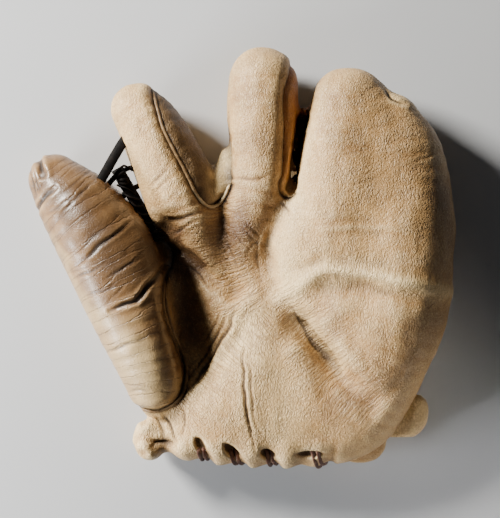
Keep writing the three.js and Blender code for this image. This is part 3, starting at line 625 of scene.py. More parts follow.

# %% [markdown]
# Years of play and oil make leather dark where it is hit and held, and rubbing makes it pale where
# it stands out. Some rows paint light and shade instead: the pocket's dark is part oil and part
# painted shade, the darkest corner is painted shade, and the slopes that face the window, the
# thumb's flank and the middle of the heel pad are painted light. Each row says how pale, or below
# zero how dark, how far it reaches, and its path. The amounts are kept beside each point for the
# finish to use.

# %% Where the leather is darker or paler
TONES_AND_PAINTED_LIGHT = [
    # The pocket, part oil and part painted shade, and its darkest corner, painted shade
    ("dark pocket", -1.0, 15, [(-46, 14), (-40, -6), (-34, -30), (-30, -50)]),
    ("darkest corner", -0.9, 8, [(-46, 13), (-36, 4), (-28, -4)]),
    ("middle finger", -0.35, 13, [(12, 96), (12, 70)]),
    ("middle base", -0.45, 11, [(2, 30), (2, 10)]),
    ("index tip", -0.2, 14, [(-66, 96), (-58, 86)]),
    ("wide stall top", -0.35, 18, [(70, 96), (98, 74), (118, 44)]),
    ("outer edge", -0.6, 15, [(126, 40), (130, 0), (126, -40)]),
    ("wide stall middle", -0.3, 16, [(62, 62), (84, 46)]),
    ("heel side", -0.55, 14, [(56, -92), (84, -78), (102, -58)]),
    ("mound crest", 0.9, 8, [(28, -25), (46, -10), (66, -8), (96, -12), (130, -22)]),
    # Painted light: slopes that face the window, and the heel pad's middle
    ("ring mound", 0.7, 10, [(34, 28), (28, 10), (32, -14)]),
    ("left of the ring stall", 0.5, 7, [(48, 92), (40, 66), (36, 44)]),
    ("heel pad middle", 0.6, 20, [(6, -56), (22, -84), (24, -104)]),
    ("heel slope", 0.9, 9, [(38, -38), (50, -56), (62, -70)]),
    ("heel pad crest", 0.7, 7, [(10, -32), (-4, -50), (-20, -72), (-30, -86)]),
    ("crotch", 1.4, 5.5, [(-15, 37), (-12.5, 44), (-12, 54), (-12, 64)]),
    # Painted light on the index finger's side that faces the window
    ("index left", 0.4, 10, [(-78, 86), (-68, 64), (-58, 44)]),
    ("waist", 0.5, 9, [(-62, -104), (-48, -106)]),
    ("palm upper", -0.8, 15, [(-8, 12), (4, 22)]),
    ("thumb top", -0.9, 22, [(-116, 40), (-96, 22), (-80, -4)]),
    ("thumb foot", 0.75, 18, [(-70, -60), (-56, -82)]),
    # Painted highlight along the thumb's flank, where the band of gloss is
    ("thumb flank", 0.6, 9, [(-124, 30), (-112, 6), (-100, -20), (-90, -40)]),
    ("little stall", 1.0, 6, [(97, 104), (104, 104), (112, 98)]),
    ("frayed edge", 0.8, 5, [(26, 44), (32, 38)]),
]
MOST_TINT = 1.3

# Tones of the leather, with painted light and shade, noted beside each point
tint = np.zeros(len(skin))
tinted = wandered + 4 * wander
for _, amount, reach, path in TONES_AND_PAINTED_LIGHT:
    near = np.exp(-(path_distance(tinted, smooth_rows(path, 4)) / reach) ** 2)
    tint += amount * near * np.clip((skin[:, 2] - 12) / 10, 0, 1)
tint = np.clip(tint, -MOST_TINT, MOST_TINT)
print("tint from", tint.min().round(2), "to", tint.max().round(2))

# %% [markdown]
# Last come soft buckles of all sizes, fewer on the tight thumb. Then two smoothed copies of the skin
# tell what is hollow and what stands out, because the finish paints shade into the one and shows
# wear on the other. A map baked from the mesh would do the same, but it takes longer.

# %% Soft buckles, hollows and ridges
THUMB_SLACK = 0.55
SIDE_SLACK = 0.5
LOWEST = 0.05

slack = np.where(thumb_depth > 0, THUMB_SLACK, 1) * np.where(skin[:, 2] > SEAM_HEIGHT, 1, SIDE_SLACK)
stretched = skin * np.array([1, 0.55, 1])
press += slack * (0.8 * noise(skin, 19, 1) + 0.3 * noise(stretched, 7.5, 2)
                  + 0.12 * noise(stretched, 3.6, 3))
print("moves from", press.min().round(2), "to", press.max().round(2), "mm")
buckled = skin - press[:, None] * out
buckled[:, 2] = np.maximum(buckled[:, 2], LOWEST)
soft_copy = smoothed(buckled, edges, 14)
cavity = np.einsum("ij,ij->i", buckled - soft_copy, out)
wide_copy = smoothed(soft_copy, edges, 26)
bulge = np.einsum("ij,ij->i", soft_copy - wide_copy, out)
print("cavity", cavity.min().round(2), cavity.max().round(2), "bulge", bulge.min().round(2))

# %% [markdown]
# Fine wrinkles run one way: across the thumb, and away from the thick folds of the palm. The
# finish can draw them if each point knows how far along and how far across that run it lies.

# %% Note the run of the wrinkles
RUN_REACH = 21
RUN_APART = 300
THUMB_AXIS = [(-122, 56), (-101, 29), (-81, 0), (-66, -33), (-56, -64), (-53, -90)]
THUMB_SLANT = 0.05
WRINKLE_RUNS = [(0.8, [(14, -36), (2, -48), (-11, -62), (-24, -82), (-31, -90)]),
                (0.9, [(32, -32), (45, -52), (58, -70), (78, -90)]),
                (0.9, [(-14, 30), (-10, 7), (-2, -18), (6, -32)]),
                (0.4, [(28, -26), (55, -8), (95, -14), (131, -24)])]


def along_path(points, path):
    """How far along a plan path the nearest place lies, and how far off to its side."""
    path = smooth_rows(path, 5)[:, :2]
    nearest = np.full(len(points), 1e9)
    along = np.zeros(len(points))
    aside = np.zeros(len(points))
    start = 0
    for i, (a, b) in enumerate(zip(path, path[1:])):
        run = b - a
        length = np.hypot(*run)
        away = points[:, :2] - a
        t = away @ run / length ** 2
        t = np.clip(t, -9 if i == 0 else 0, 9 if i == len(path) - 2 else 1)
        gap = np.hypot(*(away - t[:, None] * run).T)
        side = (run[0] * away[:, 1] - run[1] * away[:, 0]) / length
        better = gap < nearest
        nearest = np.where(better, gap, nearest)
        along = np.where(better, start + t * length, along)
        aside = np.where(better, side, aside)
        start += length
    return along, aside


flow = np.zeros(len(skin))
flow_side = np.zeros(len(skin))
flow_power = np.zeros(len(skin))
thumb_along, thumb_aside = along_path(skin, THUMB_AXIS)
is_thumb = thumb_depth > 0
flow[is_thumb] = (thumb_along + THUMB_SLANT * thumb_aside)[is_thumb]
flow_side[is_thumb] = thumb_aside[is_thumb]
flow_power[is_thumb] = 1
runner_up = np.zeros(len(skin))
for k, (power, path) in enumerate(WRINKLE_RUNS):
    along, aside = along_path(skin, path)
    gap = path_distance(skin, smooth_rows(path, 5))
    here = power * np.exp(-(gap / RUN_REACH) ** 2)
    here = np.where(is_thumb, 0, here)
    better = here > flow_power
    flow = np.where(better, along + RUN_APART * (k + 1), flow)
    flow_side = np.where(better, aside, flow_side)
    runner_up = np.where(is_thumb, 0, np.maximum(runner_up, np.minimum(flow_power, here)))
    flow_power = np.maximum(flow_power, here)
# Where two runs are nearly as strong, neither is drawn
flow_power *= np.clip((flow_power - runner_up) / 0.12, 0, 1)
print("wrinkles run over", int((flow_power > 0.3).sum()), "points")

# %% [markdown]
# A seam should be a clean line, not a row of teeth, so we don't sort whole triangles into
# leathers. Each triangle that the seam crosses is cut exactly where the depth passes through zero.

# %% Cut a leather out of the skin
def cut_off(rows, faces, keep):
    """The part of a mesh where keep is above zero; rows hold places and all that goes with them."""
    inside = keep > 0
    count = inside[faces].sum(1)
    whole = faces[count == 3]
    mixed = faces[(count == 1) | (count == 2)]
    odd_inside = inside[mixed].sum(1) == 1
    odd = np.argmax(inside[mixed] == odd_inside[:, None], axis=1)
    turn = (odd[:, None] + np.arange(3)) % 3
    a, b, c = np.take_along_axis(mixed, turn, 1).T
    pairs = np.sort(np.vstack([np.stack([a, b], 1), np.stack([a, c], 1)]), 1)
    cuts, which = np.unique(pairs, axis=0, return_inverse=True)
    which = which.reshape(-1) + len(rows)
    p, q = which[:len(a)], which[len(a):]
    t = keep[cuts[:, 0]] / (keep[cuts[:, 0]] - keep[cuts[:, 1]])
    fresh = rows[cuts[:, 0]] + t[:, None] * (rows[cuts[:, 1]] - rows[cuts[:, 0]])
    rows = np.vstack([rows, fresh])
    lone = np.stack([a, p, q], 1)[odd_inside]
    pair = ~odd_inside
    rest = np.vstack([np.stack([p, b, c], 1)[pair], np.stack([p, c, q], 1)[pair]])
    return tidy_mesh(rows, np.vstack([whole, lone, rest]))


def tidy_mesh(rows, faces):
    """Drops the points that no face uses."""
    used, which = np.unique(faces, return_inverse=True)
    return rows[used], which.reshape(-1, 3)


def biggest(rows, faces):
    """Keeps only the largest connected part."""
    label = np.arange(len(rows))
    pairs = edges_of(faces)
    while True:
        new = label.copy()
        np.minimum.at(new, pairs[:, 0], label[pairs[:, 1]])
        np.minimum.at(new, pairs[:, 1], label[pairs[:, 0]])
        new = new[new]
        if (new == label).all():
            break
        label = new
    names, counts = np.unique(label[faces[:, 0]], return_counts=True)
    return tidy_mesh(rows, faces[label[faces[:, 0]] == names[counts.argmax()]])


# %% [markdown]
# A point takes its notes along when it is cut, so they sit in one table of rows: the point's place,
# its notes, and its place on the smooth form, which the seams are measured on. The mouth that takes
# the hand is cut first, then front and back part at the side, and the back gets its slit.

# %% The leathers, the mouth and the slit
SHADE_NAMES = ["line", "cavity", "bulge", "seam_painted_shade", "flow", "flow_side", "flow_power", "tint"]
columns = np.column_stack([buckled, line, cavity, bulge, seam_shade,
                           flow, flow_side, flow_power, tint, skin])
PLACE = slice(0, 3)
FORM = slice(11, 14)
UP = 13
MOUTH = {"x": 9, "half_width": 57, "z": 17.5, "half_height": 10.5, "start": -104}
SLIT = {"x": 4, "half_width": 9, "start": -48, "top": 17.5}
SEAM_GAP = 0.15


def mouth_side(form):
    """Above zero outside the mouth that takes the hand."""
    across = (form[:, 0] - MOUTH["x"]) / MOUTH["half_width"]
    up = (form[:, 2] - MOUTH["z"]) / MOUTH["half_height"]
    ellipse = (np.hypot(across, up) - 1) * MOUTH["half_height"]
    return np.maximum(ellipse, form[:, 1] - MOUTH["start"])


def slit_side(form):
    """Above zero outside the slit of the back."""
    beyond = np.maximum(form[:, 1] - SLIT["start"], 0)
    away = np.hypot(form[:, 0] - SLIT["x"], beyond) - SLIT["half_width"]
    return np.maximum(away, form[:, 2] - SLIT["top"])


open_rows, open_faces = cut_off(columns, skin_faces, mouth_side(skin))
front_rows, front_faces = cut_off(open_rows, open_faces, open_rows[:, UP] - SEAM_HEIGHT - SEAM_GAP)
back_rows, back_faces = cut_off(open_rows, open_faces, SEAM_HEIGHT - SEAM_GAP - open_rows[:, UP])
back_rows, back_faces = cut_off(back_rows, back_faces, slit_side(back_rows[:, FORM]))


def leather(outside=(), inside=None):
    """The part of the front outside some outlines, or inside one."""
    rows, faces = front_rows, front_faces
    for outline in outside:
        rows, faces = cut_off(rows, faces, -inside_depth(rows[:, FORM], outline) - SEAM_GAP)
    if inside is not None:
        rows, faces = cut_off(rows, faces, inside_depth(rows[:, FORM], inside) - SEAM_GAP)
    return biggest(rows, faces)


LEATHERS = {
    "palm_leather": ("palm_front", "tan_leather", leather((thumb_outline, index_outline, ring_outline))),
    "thumb_leather": ("thumb_cover", "thumb_leather", leather(inside=thumb_outline)),
    "index_side_leather": ("index_gusset", "gusset_leather", leather(inside=index_outline)),
    "ring_side_leather": ("ring_gusset", "gusset_leather", leather(inside=ring_outline)),
    "back_leather": ("back_shell", "tan_leather", biggest(back_rows, back_faces)),
}
for name, (_, _, (rows, faces)) in LEATHERS.items():
    print(name, len(rows), "points", len(faces), "triangles")

# %% [markdown]
# Numbers become objects in one step. The two big leathers are first thinned out where they are
# smooth, which leaves the creases sharp. Then each leather gets its thickness from a Solidify
# modifier, so the mouth and the seams show a real edge, and its notes go along as attributes.

# %% Make the leather objects
MM = 0.001
WALL = 2.2
KEPT_SHARE = {"palm_leather": 0.66, "back_leather": 0.4}


def mesh_object(name, places, faces, notes=None):
    """An object from places in millimetres, with a number for each point under each note."""
    mesh = bpy.data.meshes.new(name)
    mesh.from_pydata((np.asarray(places) + shift) * MM, [], [list(map(int, face)) for face in faces])
    for note, values in (notes or {}).items():
        mesh.attributes.new(note, "FLOAT", "POINT").data.foreach_set("value", values)
    mesh.shade_smooth()
    mesh.update()
    piece = bpy.data.objects.new(name, mesh)
    bpy.context.collection.objects.link(piece)
    return piece


def put_on(piece, node):
    """Hangs a piece under the root and hides the solid it stands for."""
    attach(piece, "root")
    if node:
        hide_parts(node)


pieces = {}
for name, (node, slot, (rows, faces)) in LEATHERS.items():
    notes = {note: rows[:, 3 + k].astype(np.float32) for k, note in enumerate(SHADE_NAMES)}
    piece = mesh_object(name, rows[:, PLACE], faces, notes)
    if name in KEPT_SHARE:
        piece.modifiers.new("fewer triangles", "DECIMATE").ratio = KEPT_SHARE[name]
    wall = piece.modifiers.new("wall", "SOLIDIFY")
    wall.thickness = WALL * MM
    wall.offset = -1
    wall.use_rim = True
    put_on(piece, node)
    pieces[name] = piece

# %% [markdown]
# Piping, laces and straps are all one idea: a section carried along a path. To lay them on the
# skin we drop a ray on it, which is what a BVH tree is for.

# %% Sweep a section along a path
skin_tree = BVHTree.FromPolygons(buckled.tolist(), skin_faces.tolist())


def height_at(x, y, start=90):
    """How high the skin lies at a place in plan."""
    hit = skin_tree.ray_cast(Vector((x, y, start)), Vector((0, 0, -1)))[0]
    return hit.z if hit else 0


def swept(path, section, up=(0, 0, 1), sizes=None, twist=0):
    """Points and faces of a section, given as across and up, carried along a path."""
    path = np.asarray(path, float)
    section = np.asarray(section, float)
    run = np.gradient(path, axis=0)
    run /= np.linalg.norm(run, axis=1)[:, None]
    ups = np.broadcast_to(np.asarray(up, float), path.shape)
    across = np.cross(run, ups)
    across /= np.maximum(np.linalg.norm(across, axis=1), 1e-6)[:, None]
    rise = np.cross(across, run)
    if sizes is None:
        sizes = np.ones(len(path))
    ring = len(section)
    angle = np.linspace(0, twist, len(path))
    turned_x = section[:, 0] * np.cos(angle)[:, None] - section[:, 1] * np.sin(angle)[:, None]
    turned_y = section[:, 0] * np.sin(angle)[:, None] + section[:, 1] * np.cos(angle)[:, None]
    places = (path[:, None] + sizes[:, None, None] * (
        turned_x[:, :, None] * across[:, None] + turned_y[:, :, None] * rise[:, None])).reshape(-1, 3)
    faces = []
    for i in range(len(path) - 1):
        for k in range(ring):
            a, b = i * ring + k, i * ring + (k + 1) % ring
            faces.append((a, b, b + ring, a + ring))
    faces.append(tuple(range(ring))[::-1])
    faces.append(tuple(len(places) - ring + k for k in range(ring)))
    return places, faces


def joined(*parts):
    """Several swept parts as one mesh."""
    places, faces = [], []
    for part_places, part_faces in parts:
        start = sum(len(p) for p in places)
        places.append(part_places)
        faces += [tuple(start + k for k in face) for face in part_faces]
    return np.vstack(places), faces


def round_section(radius, sides=12, flatten=1):
    """A round section, or an oval one."""
    angle = np.arange(sides) * 2 * np.pi / sides
    return np.stack([radius * np.cos(angle), radius * flatten * np.sin(angle)], 1)


def flat_section(width, thick, bevel=0.35):
    """A strap's section with its corners taken off."""
    w, t, b = width / 2, thick / 2, min(bevel, thick / 3)
    return np.array([(w, t - b), (w - b, t), (-w + b, t), (-w, t - b),
                     (-w, -t + b), (-w + b, -t), (w - b, -t), (w, -t + b)])


# %% [markdown]
# The piping is a strip of leather folded over and caught in the seam, so it shows as a round roll
# that is a little uneven. It sits in the groove that we pulled into the skin.

# %% The piping of the thumb and the index finger
PIPING_RADIUS = 1.05
PIPING_LIFT = 0.35


def on_skin(path, lift, steps=8):
    """A plan path laid on the front of the skin."""
    plan = smooth_rows(path, steps)[:, :2]
    places = np.array([(x, y, height_at(x, y) + lift) for x, y in plan])
    places[:, 2] = smooth_line(places[:, 2], 3)
    return places[places[:, 2] > SEAM_HEIGHT + 2]


def smooth_line(values, rounds):
    """A row of numbers, evened out."""
    for _ in range(rounds):
        values = np.concatenate([values[:1], (values[:-2] + 2 * values[1:-1] + values[2:]) / 4,
                                 values[-1:]])
    return values


def piping(path):
    """A roll in the groove of a seam, a little uneven and thin at its ends."""
    middle = on_skin(path, PIPING_LIFT)
    steps = np.arange(len(middle))
    swell = 1 + 0.09 * np.sin(steps * 1.7) + 0.06 * np.sin(steps * 0.6)
    swell *= np.clip(0.35 + np.minimum(steps, steps[::-1]) / 3, 0, 1)
    return swept(middle, round_section(PIPING_RADIUS), sizes=swell)


for name, node, path in (("thumb_piping", "thumb_welt", THUMB_SEAM),
                         ("index_piping", "index_welt", INDEX_SEAM)):
    roll, roll_faces = piping(path)
    # The crotch is the one place where the roll is still as pale as it was made
    pale = np.clip((roll[:, 0] + 30) / 6, 0, 1) * (name == "index_piping")
    pieces[name] = mesh_object(name, roll, roll_faces, {"tint": pale.astype(np.float32)})
    put_on(pieces[name], node)
    print(name, "length", round(sum(map(math.dist, path, path[1:]))), "mm")

# %% [markdown]
# Between thumb and index finger a few near-black thongs tie the stalls together: one flat strap
# above, two laces below it that meet in a knot, and small loops that go down along the thumb's
# edge. Thin leather twists as it is pulled, so the laces turn a little as they run.

# %% The web between thumb and index finger
WEB_PATHS = {
    "web_strap": ([(-95, 39, 31), (-90, 46, 34), (-85.1, 54.4, 35), (-75.5, 71, 35.2), (-70, 79, 33.5),
                   (-66.5, 85, 30)], 6.2, 1.7, 0.25),
    "web_lace_upper": ([(-91.5, 36, 29), (-81.9, 49, 31), (-74.9, 55, 32.5), (-67, 58.5, 31),
                        (-60.5, 62, 28)], 3.4, 1.5, 1.2),
    "web_lace_lower": ([(-86.5, 27, 26), (-75, 39, 27), (-67, 45, 27.4), (-60, 48, 26),
                        (-54.5, 50, 24)], 3.4, 1.5, -1.0),
}


for name, (path, width, thick, twist) in WEB_PATHS.items():
    piece = mesh_object(name, *swept(smooth_rows(path, 8), flat_section(width, thick), twist=twist))
    put_on(piece, name)
    pieces[name] = piece

# %% [markdown]
# The knot is three rings of thong, each tilted another way. Below it, small loops lace the two
# stalls together down to the crotch, over a tongue of dark leather that closes the gap.

# %% The knot, the loops and the tongue
KNOT = (-74.2, 49.6, 29.8)
KNOT_RINGS = ((0.5, 3.1), (-0.6, 2.9), (1.5, 2.6))
turns = np.linspace(0, 2 * np.pi, 26)
knot_parts = []
for tilt, size in KNOT_RINGS:
    ring = np.stack([size * np.cos(turns), size * np.sin(turns) * np.cos(tilt),
                     size * np.sin(turns) * np.sin(tilt)], 1) + KNOT
    knot_parts.append(swept(ring, round_section(1.25, 10, 0.75), up=(0.2, 0.3, 1)))
pieces["web_knot"] = mesh_object("web_knot", *joined(*knot_parts))
put_on(pieces["web_knot"], "web_knot")

LOOPS = [
    ((-79, 53, 31), (-74, 58.5, 34.5), (-68.5, 56, 31)),
    ((-77, 46, 30), (-71.5, 44, 32), (-66.5, 39.5, 27)),
    ((-74, 41, 28), (-69.5, 38.5, 31), (-65, 36.5, 26)),
    ((-70, 37, 27), (-66, 33, 30), (-62, 33.5, 25)),
    ((-66.5, 31, 27), (-62.5, 27.5, 30.5), (-58.5, 28.5, 25)),
    ((-63, 25, 27), (-59, 22, 30.5), (-55, 23, 25)),
    ((-60, 19, 27), (-55.5, 16.5, 31), (-51.5, 18, 26)),
    ((-57, 13.5, 28), (-53, 11, 31), (-49, 13, 27)),
]
LOOP_DROP = np.array([0, 0, 3])
TONGUE = [(-78.5, 57, 27), (-74, 49, 28.5), (-68, 39, 27), (-61, 26, 25.5), (-55, 12, 26)]
loop_parts = []
for k, (start, top, end) in enumerate(LOOPS):
    path = smooth_rows([start - LOOP_DROP, start, top, end, end - LOOP_DROP], 6)
    twist = 0.4 + 0.3 * (k % 3)
    loop_parts.append(swept(path, flat_section(2.6, 1.1, 0.3), up=(0.4, 1, 0.4), twist=twist))
loop_parts.append(swept(smooth_rows(TONGUE, 6), flat_section(8, 1.6), twist=-0.5))
pieces["web_loops"] = mesh_object("web_loops", *joined(*loop_parts))
put_on(pieces["web_loops"], None)
print("web of", len(WEB_PATHS), "thongs and", len(LOOPS), "loops")

# %% [markdown]
# The heel's edge is whipped with a brown thong. At each stitch two strands come out of a hole,
# go over the hem and turn under it. We find the hem by rays that fan out from a point inside it,
# so the strands lie on the leather wherever it is.

# %% The lace over the heel
LACE_LIFT = 0.55
LACE_TURN = (2, 152)
RAY_START = 40
LEAST_REACH = 4
MOST_REACH = 22


def over_hem(x, slant, count=22):
    """A path over the hem at x, from the hole above to the edge below."""
    first, last = LACE_TURN
    inside = Vector((x, hem_bow(x) + 7, 26))
    places = []
    for i in range(count):
        part = i / (count - 1)
        angle = math.radians(first + (last - first) * part)
        at = inside + Vector((slant * part, 0, 0))
        way = Vector((0, -math.sin(angle), math.cos(angle)))
        hit = skin_tree.ray_cast(at + way * RAY_START, -way)[0]
        reach = (hit - at).dot(way) if hit else 8
        places.append(tuple(at + way * (max(min(reach, MOST_REACH), LEAST_REACH) + LACE_LIFT)))
    places = np.array(places)
    for k in (1, 2):
        places[:, k] = smooth_line(places[:, k], 4)
    return places


lace_parts = []
# The first pass hides in the hollow beside the ear, so strands show from the second on
for x, (right, _, _, _, slant) in zip(loop_x[1:], HOLES[1:]):
    for aside, wide in ((-2.4, 2.8), (0.9, 2.6)):
        path = over_hem(x + right + aside, 12 * slant)
        path[0] -= (0, -0.5, 3.5)
        path[1] -= (0, 0, 1.2)
        lace_parts.append(swept(path, flat_section(wide, 0.9, 0.3), up=(0.25, 0, 1), twist=0.3))
# Under the hem the thong runs on to the next hole
for x in loop_x[:-1]:
    run = [(x + 3, hem_bow(x) + 1, 20.5), (x + 10, hem_bow(x + 10) - 1.2, 19.2),
           (x + 19, hem_bow(x + 20) + 1, 20.5)]
    lace_parts.append(swept(smooth_rows(run, 6), flat_section(2.4, 1.2)))
pieces["heel_lace"] = mesh_object("heel_lace", *joined(*lace_parts))
put_on(pieces["heel_lace"], "heel_lace")
print("heel lace of", len(lace_parts), "strands")

# %% [markdown]
# The wrist strap crosses the back under the glove. Only its fold shows at the lower right, a thick
# rounded flap of the same tan leather with a raw, suede edge. It is swept wide and then buckled
# with the same noise as the skin. Its free end is painted paler: painted light, since it lies in
# the glove's shadow.

# %% The wrist strap
EDGE_PALE = 4
STRAP_WIDE = 26
STRAP_THICK = 2.8
STRAP_PATH = [(90, 18), (100, 21), (108.5, 22.5), (115.5, 20), (118, 13), (114, 6), (104, 2.4),
              (94, 1.75), (80, 1.7), (20, 1.7), (-20, 1.7), (-45, 1.7), (-51, 1.7)]


def wide_section(width, thick, cuts=12):
    """A strap's section with enough points across to buckle."""
    across = np.linspace(-width / 2, width / 2, cuts)
    edge = np.clip((width / 2 - np.abs(across)) / 1.6, 0, 1)
    half = thick / 2 * (0.45 + 0.55 * np.sqrt(edge))
    top = np.stack([across[::-1], half[::-1]], 1)
    return np.vstack([top, np.stack([across, -half], 1)])


def raw_edge(section, width, reach, count):
    """One at a strip's raw edges, zero from a little way in, for each point along it."""
    return np.tile(np.clip(1 - (width / 2 - np.abs(section[:, 0])) / reach, 0, 1), count)


def strip_notes(**own):
    """The notes of a strip: zero, apart from its own."""
    zero = np.zeros(len(own["bulge"]))
    return {note: own.get(note, zero).astype(np.float32) for note in SHADE_NAMES}


strap_line = np.array([(x, STRAP_Y, z) for x, z in STRAP_PATH])
strap_run = smooth_rows(strap_line, 10)
strap_up = np.gradient(strap_run, axis=0)[:, [2, 1, 0]] * (-1, 0, 1)
section = wide_section(STRAP_WIDE, STRAP_THICK)
steps = np.arange(len(strap_run))
to_button = np.clip((steps - len(steps) + 8) / 8, 0, 1)
narrow = 1 - 0.12 * np.exp(-(steps / 6) ** 2) - 0.35 * to_button ** 2
strap_places, strap_faces = swept(strap_run, section, up=strap_up)
middle = np.repeat(strap_run, len(section), axis=0)
part = np.repeat(narrow, len(section))
strap_places[:, 1] = middle[:, 1] + (strap_places[:, 1] - middle[:, 1]) * part
free = np.clip((strap_places[:, 0] - 84) / 12, 0, 1)
off_middle = (strap_places[:, 1] - STRAP_Y) / (STRAP_WIDE / 2)
round_end = 2.4 - 5.5 * np.abs(off_middle) ** 2.6 + 1.8 * off_middle
strap_places[:, 0] += free * (0.8 * noise(strap_places, 9, 21) + round_end)
strap_places[:, 2] += free * (0.7 * noise(strap_places, 7, 22) + 1.2 - 2.2 * off_middle ** 2)
strap_places[:, 2] = np.maximum(strap_places[:, 2], 0.1)
edge = raw_edge(section, STRAP_WIDE, 2.2, len(strap_run))
# Painted light: the free end is noted paler, as it lies in the glove's shadow
pieces["wrist_strap"] = mesh_object("wrist_strap", strap_places, strap_faces,
                                    strip_notes(bulge=EDGE_PALE * edge, tint=0.8 * free))
put_on(pieces["wrist_strap"], "wrist_strap")
print("strap", len(strap_run), "steps long")

# %% [markdown]
# Beside the strap the cuff's hem folds under, and its raw edge looks out. The strap closes with a
# button on the back. It is a plain turned shape, since it is hidden in the photograph.

# %% The cuff's edge and the button
CUFF_PATH = [(60, -121, 15), (68, -124.5, 14.5), (76, -127, 13.5), (84, -126.5, 12.5),
             (89, -121, 12), (90, -114, 13)]
CUFF_WIDE = 11
CUFF_THICK = 4.2
cuff_run = smooth_rows(CUFF_PATH, 6)
cuff_section = wide_section(CUFF_WIDE, CUFF_THICK)
cuff_places, cuff_faces = swept(cuff_run, cuff_section, up=(0, -0.3, 1))
cuff_places += 0.5 * np.stack([noise(cuff_places, 6, seed) for seed in (31, 32, 33)], 1)
edge = raw_edge(cuff_section, CUFF_WIDE, 2, len(cuff_run))
pieces["cuff_edge"] = mesh_object("cuff_edge", cuff_places, cuff_faces,
                                  strip_notes(bulge=EDGE_PALE * edge))
put_on(pieces["cuff_edge"], None)


def turned(profile, place, sides=28):
    """A profile of radius and height, turned about an upright line."""
    angle = np.arange(sides) * 2 * np.pi / sides
    places = [(r * math.cos(a) + place[0], r * math.sin(a) + place[1], z)
              for r, z in profile for a in angle]
    faces = []
    for i in range(len(profile) - 1):
        for k in range(sides):
            a, b = i * sides + k, i * sides + (k + 1) % sides
            faces.append((a, b, b + sides, a + sides))
    faces.append(tuple(range(sides))[::-1])
    faces.append(tuple(len(places) - sides + k for k in range(sides)))
    return np.array(places), faces


BUTTON_PROFILE = [(2.2, 0.7), (2.8, 0.32), (4.6, 0.3), (5.5, 0.6), (6, 1.3), (6, 2.5), (5.6, 2.9)]
pieces["strap_button"] = mesh_object("strap_button", *turned(BUTTON_PROFILE, (BUTTON_X, STRAP_Y)))
put_on(pieces["strap_button"], "strap_button")
print(len(pieces), "pieces so far")

# %% [markdown]
# A finish is a small net of nodes. To read like a sum, each socket is wrapped so that plus, minus
# and times add their Math nodes, and one method makes every other node.

# %% A way to write finishes
class Wire:
    """A socket that can be used in sums."""

    def __init__(self, kit, socket):
        self.kit = kit
        self.socket = socket

    def math(self, operation, first, second=0.0, clamp=False):
        """A Math node as a new socket."""
        return self.kit.node("ShaderNodeMath", {"operation": operation, "use_clamp": clamp},
                             {0: first, 1: second})

    def __add__(self, other):
        return self.math("ADD", self, other)

    __radd__ = __add__

    def __mul__(self, other):
        return self.math("MULTIPLY", self, other)

    __rmul__ = __mul__

    def __sub__(self, other):
        return self.math("SUBTRACT", self, other)

    def __rsub__(self, other):
        return self.math("SUBTRACT", other, self)

    def held(self):
        """Kept between 0 and 1."""
        return self.math("ADD", self, 0.0, clamp=True)


class Finish:
    """One material and a short way to add its nodes."""

    def __init__(self, name):
        self.material = bpy.data.materials.new(name)
        self.material.use_nodes = True
        self.tree = self.material.node_tree
        self.shader = self.tree.nodes["Principled BSDF"]

    def node(self, kind, settings=None, values=None, output=0):
        """Any node: its settings are set first, then its sockets get values or links."""
        made = self.tree.nodes.new(kind)
        for key, value in (settings or {}).items():
            setattr(made, key, value)
        for key, value in (values or {}).items():
            self.set(made.inputs[key], value)
        return Wire(self, made.outputs[output])

    def set(self, socket, value):
        """Gives a socket a link or a plain value."""
        if isinstance(value, Wire):
            self.tree.links.new(value.socket, socket)
        else:
            socket.default_value = value

    def note(self, name):
        """A number that was kept beside each point."""
        return self.node("ShaderNodeAttribute", {"attribute_type": "GEOMETRY", "attribute_name": name},
                         output="Fac")

    def noise(self, place, scale, detail=2.0, rough=0.5):
        """Blender's own noise, from 0 to 1."""
        return self.node("ShaderNodeTexNoise", {}, {
            "Vector": place, "Scale": scale, "Detail": detail, "Roughness": rough}, "Fac")

    def mix(self, amount, first, second):
        """From the first colour to the second as the amount grows."""
        made = self.tree.nodes.new("ShaderNodeMix")
        made.data_type = "RGBA"
        self.set(made.inputs["Factor"], amount)
        self.set(made.inputs[6], first)
        self.set(made.inputs[7], second)
        return Wire(self, made.outputs[2])

    def turned(self, place, turn, size):
        """Places turned about the upright and stretched."""
        return self.node("ShaderNodeMapping", {}, {
            "Vector": place, "Rotation": (0, 0, math.radians(turn)), "Scale": size})


def srgb(red, green, blue):
    """A colour as a screen shows it, as the shader wants it."""
    return tuple(((c / 255 + 0.055) / 1.055) ** 2.4 for c in (red, green, blue)) + (1,)


# %% [markdown]
# Worn glove leather has three scales of surface: a pebble grain of about a millimetre, fine
# wrinkles that cross each other, and the creases that are in the mesh. Rubbed ridges are pale and
# smooth. What lies low, the narrow creases and the seams get painted shade, a dark tone in the colour.

# %% Leather
CREAM = srgb(234, 204, 148)


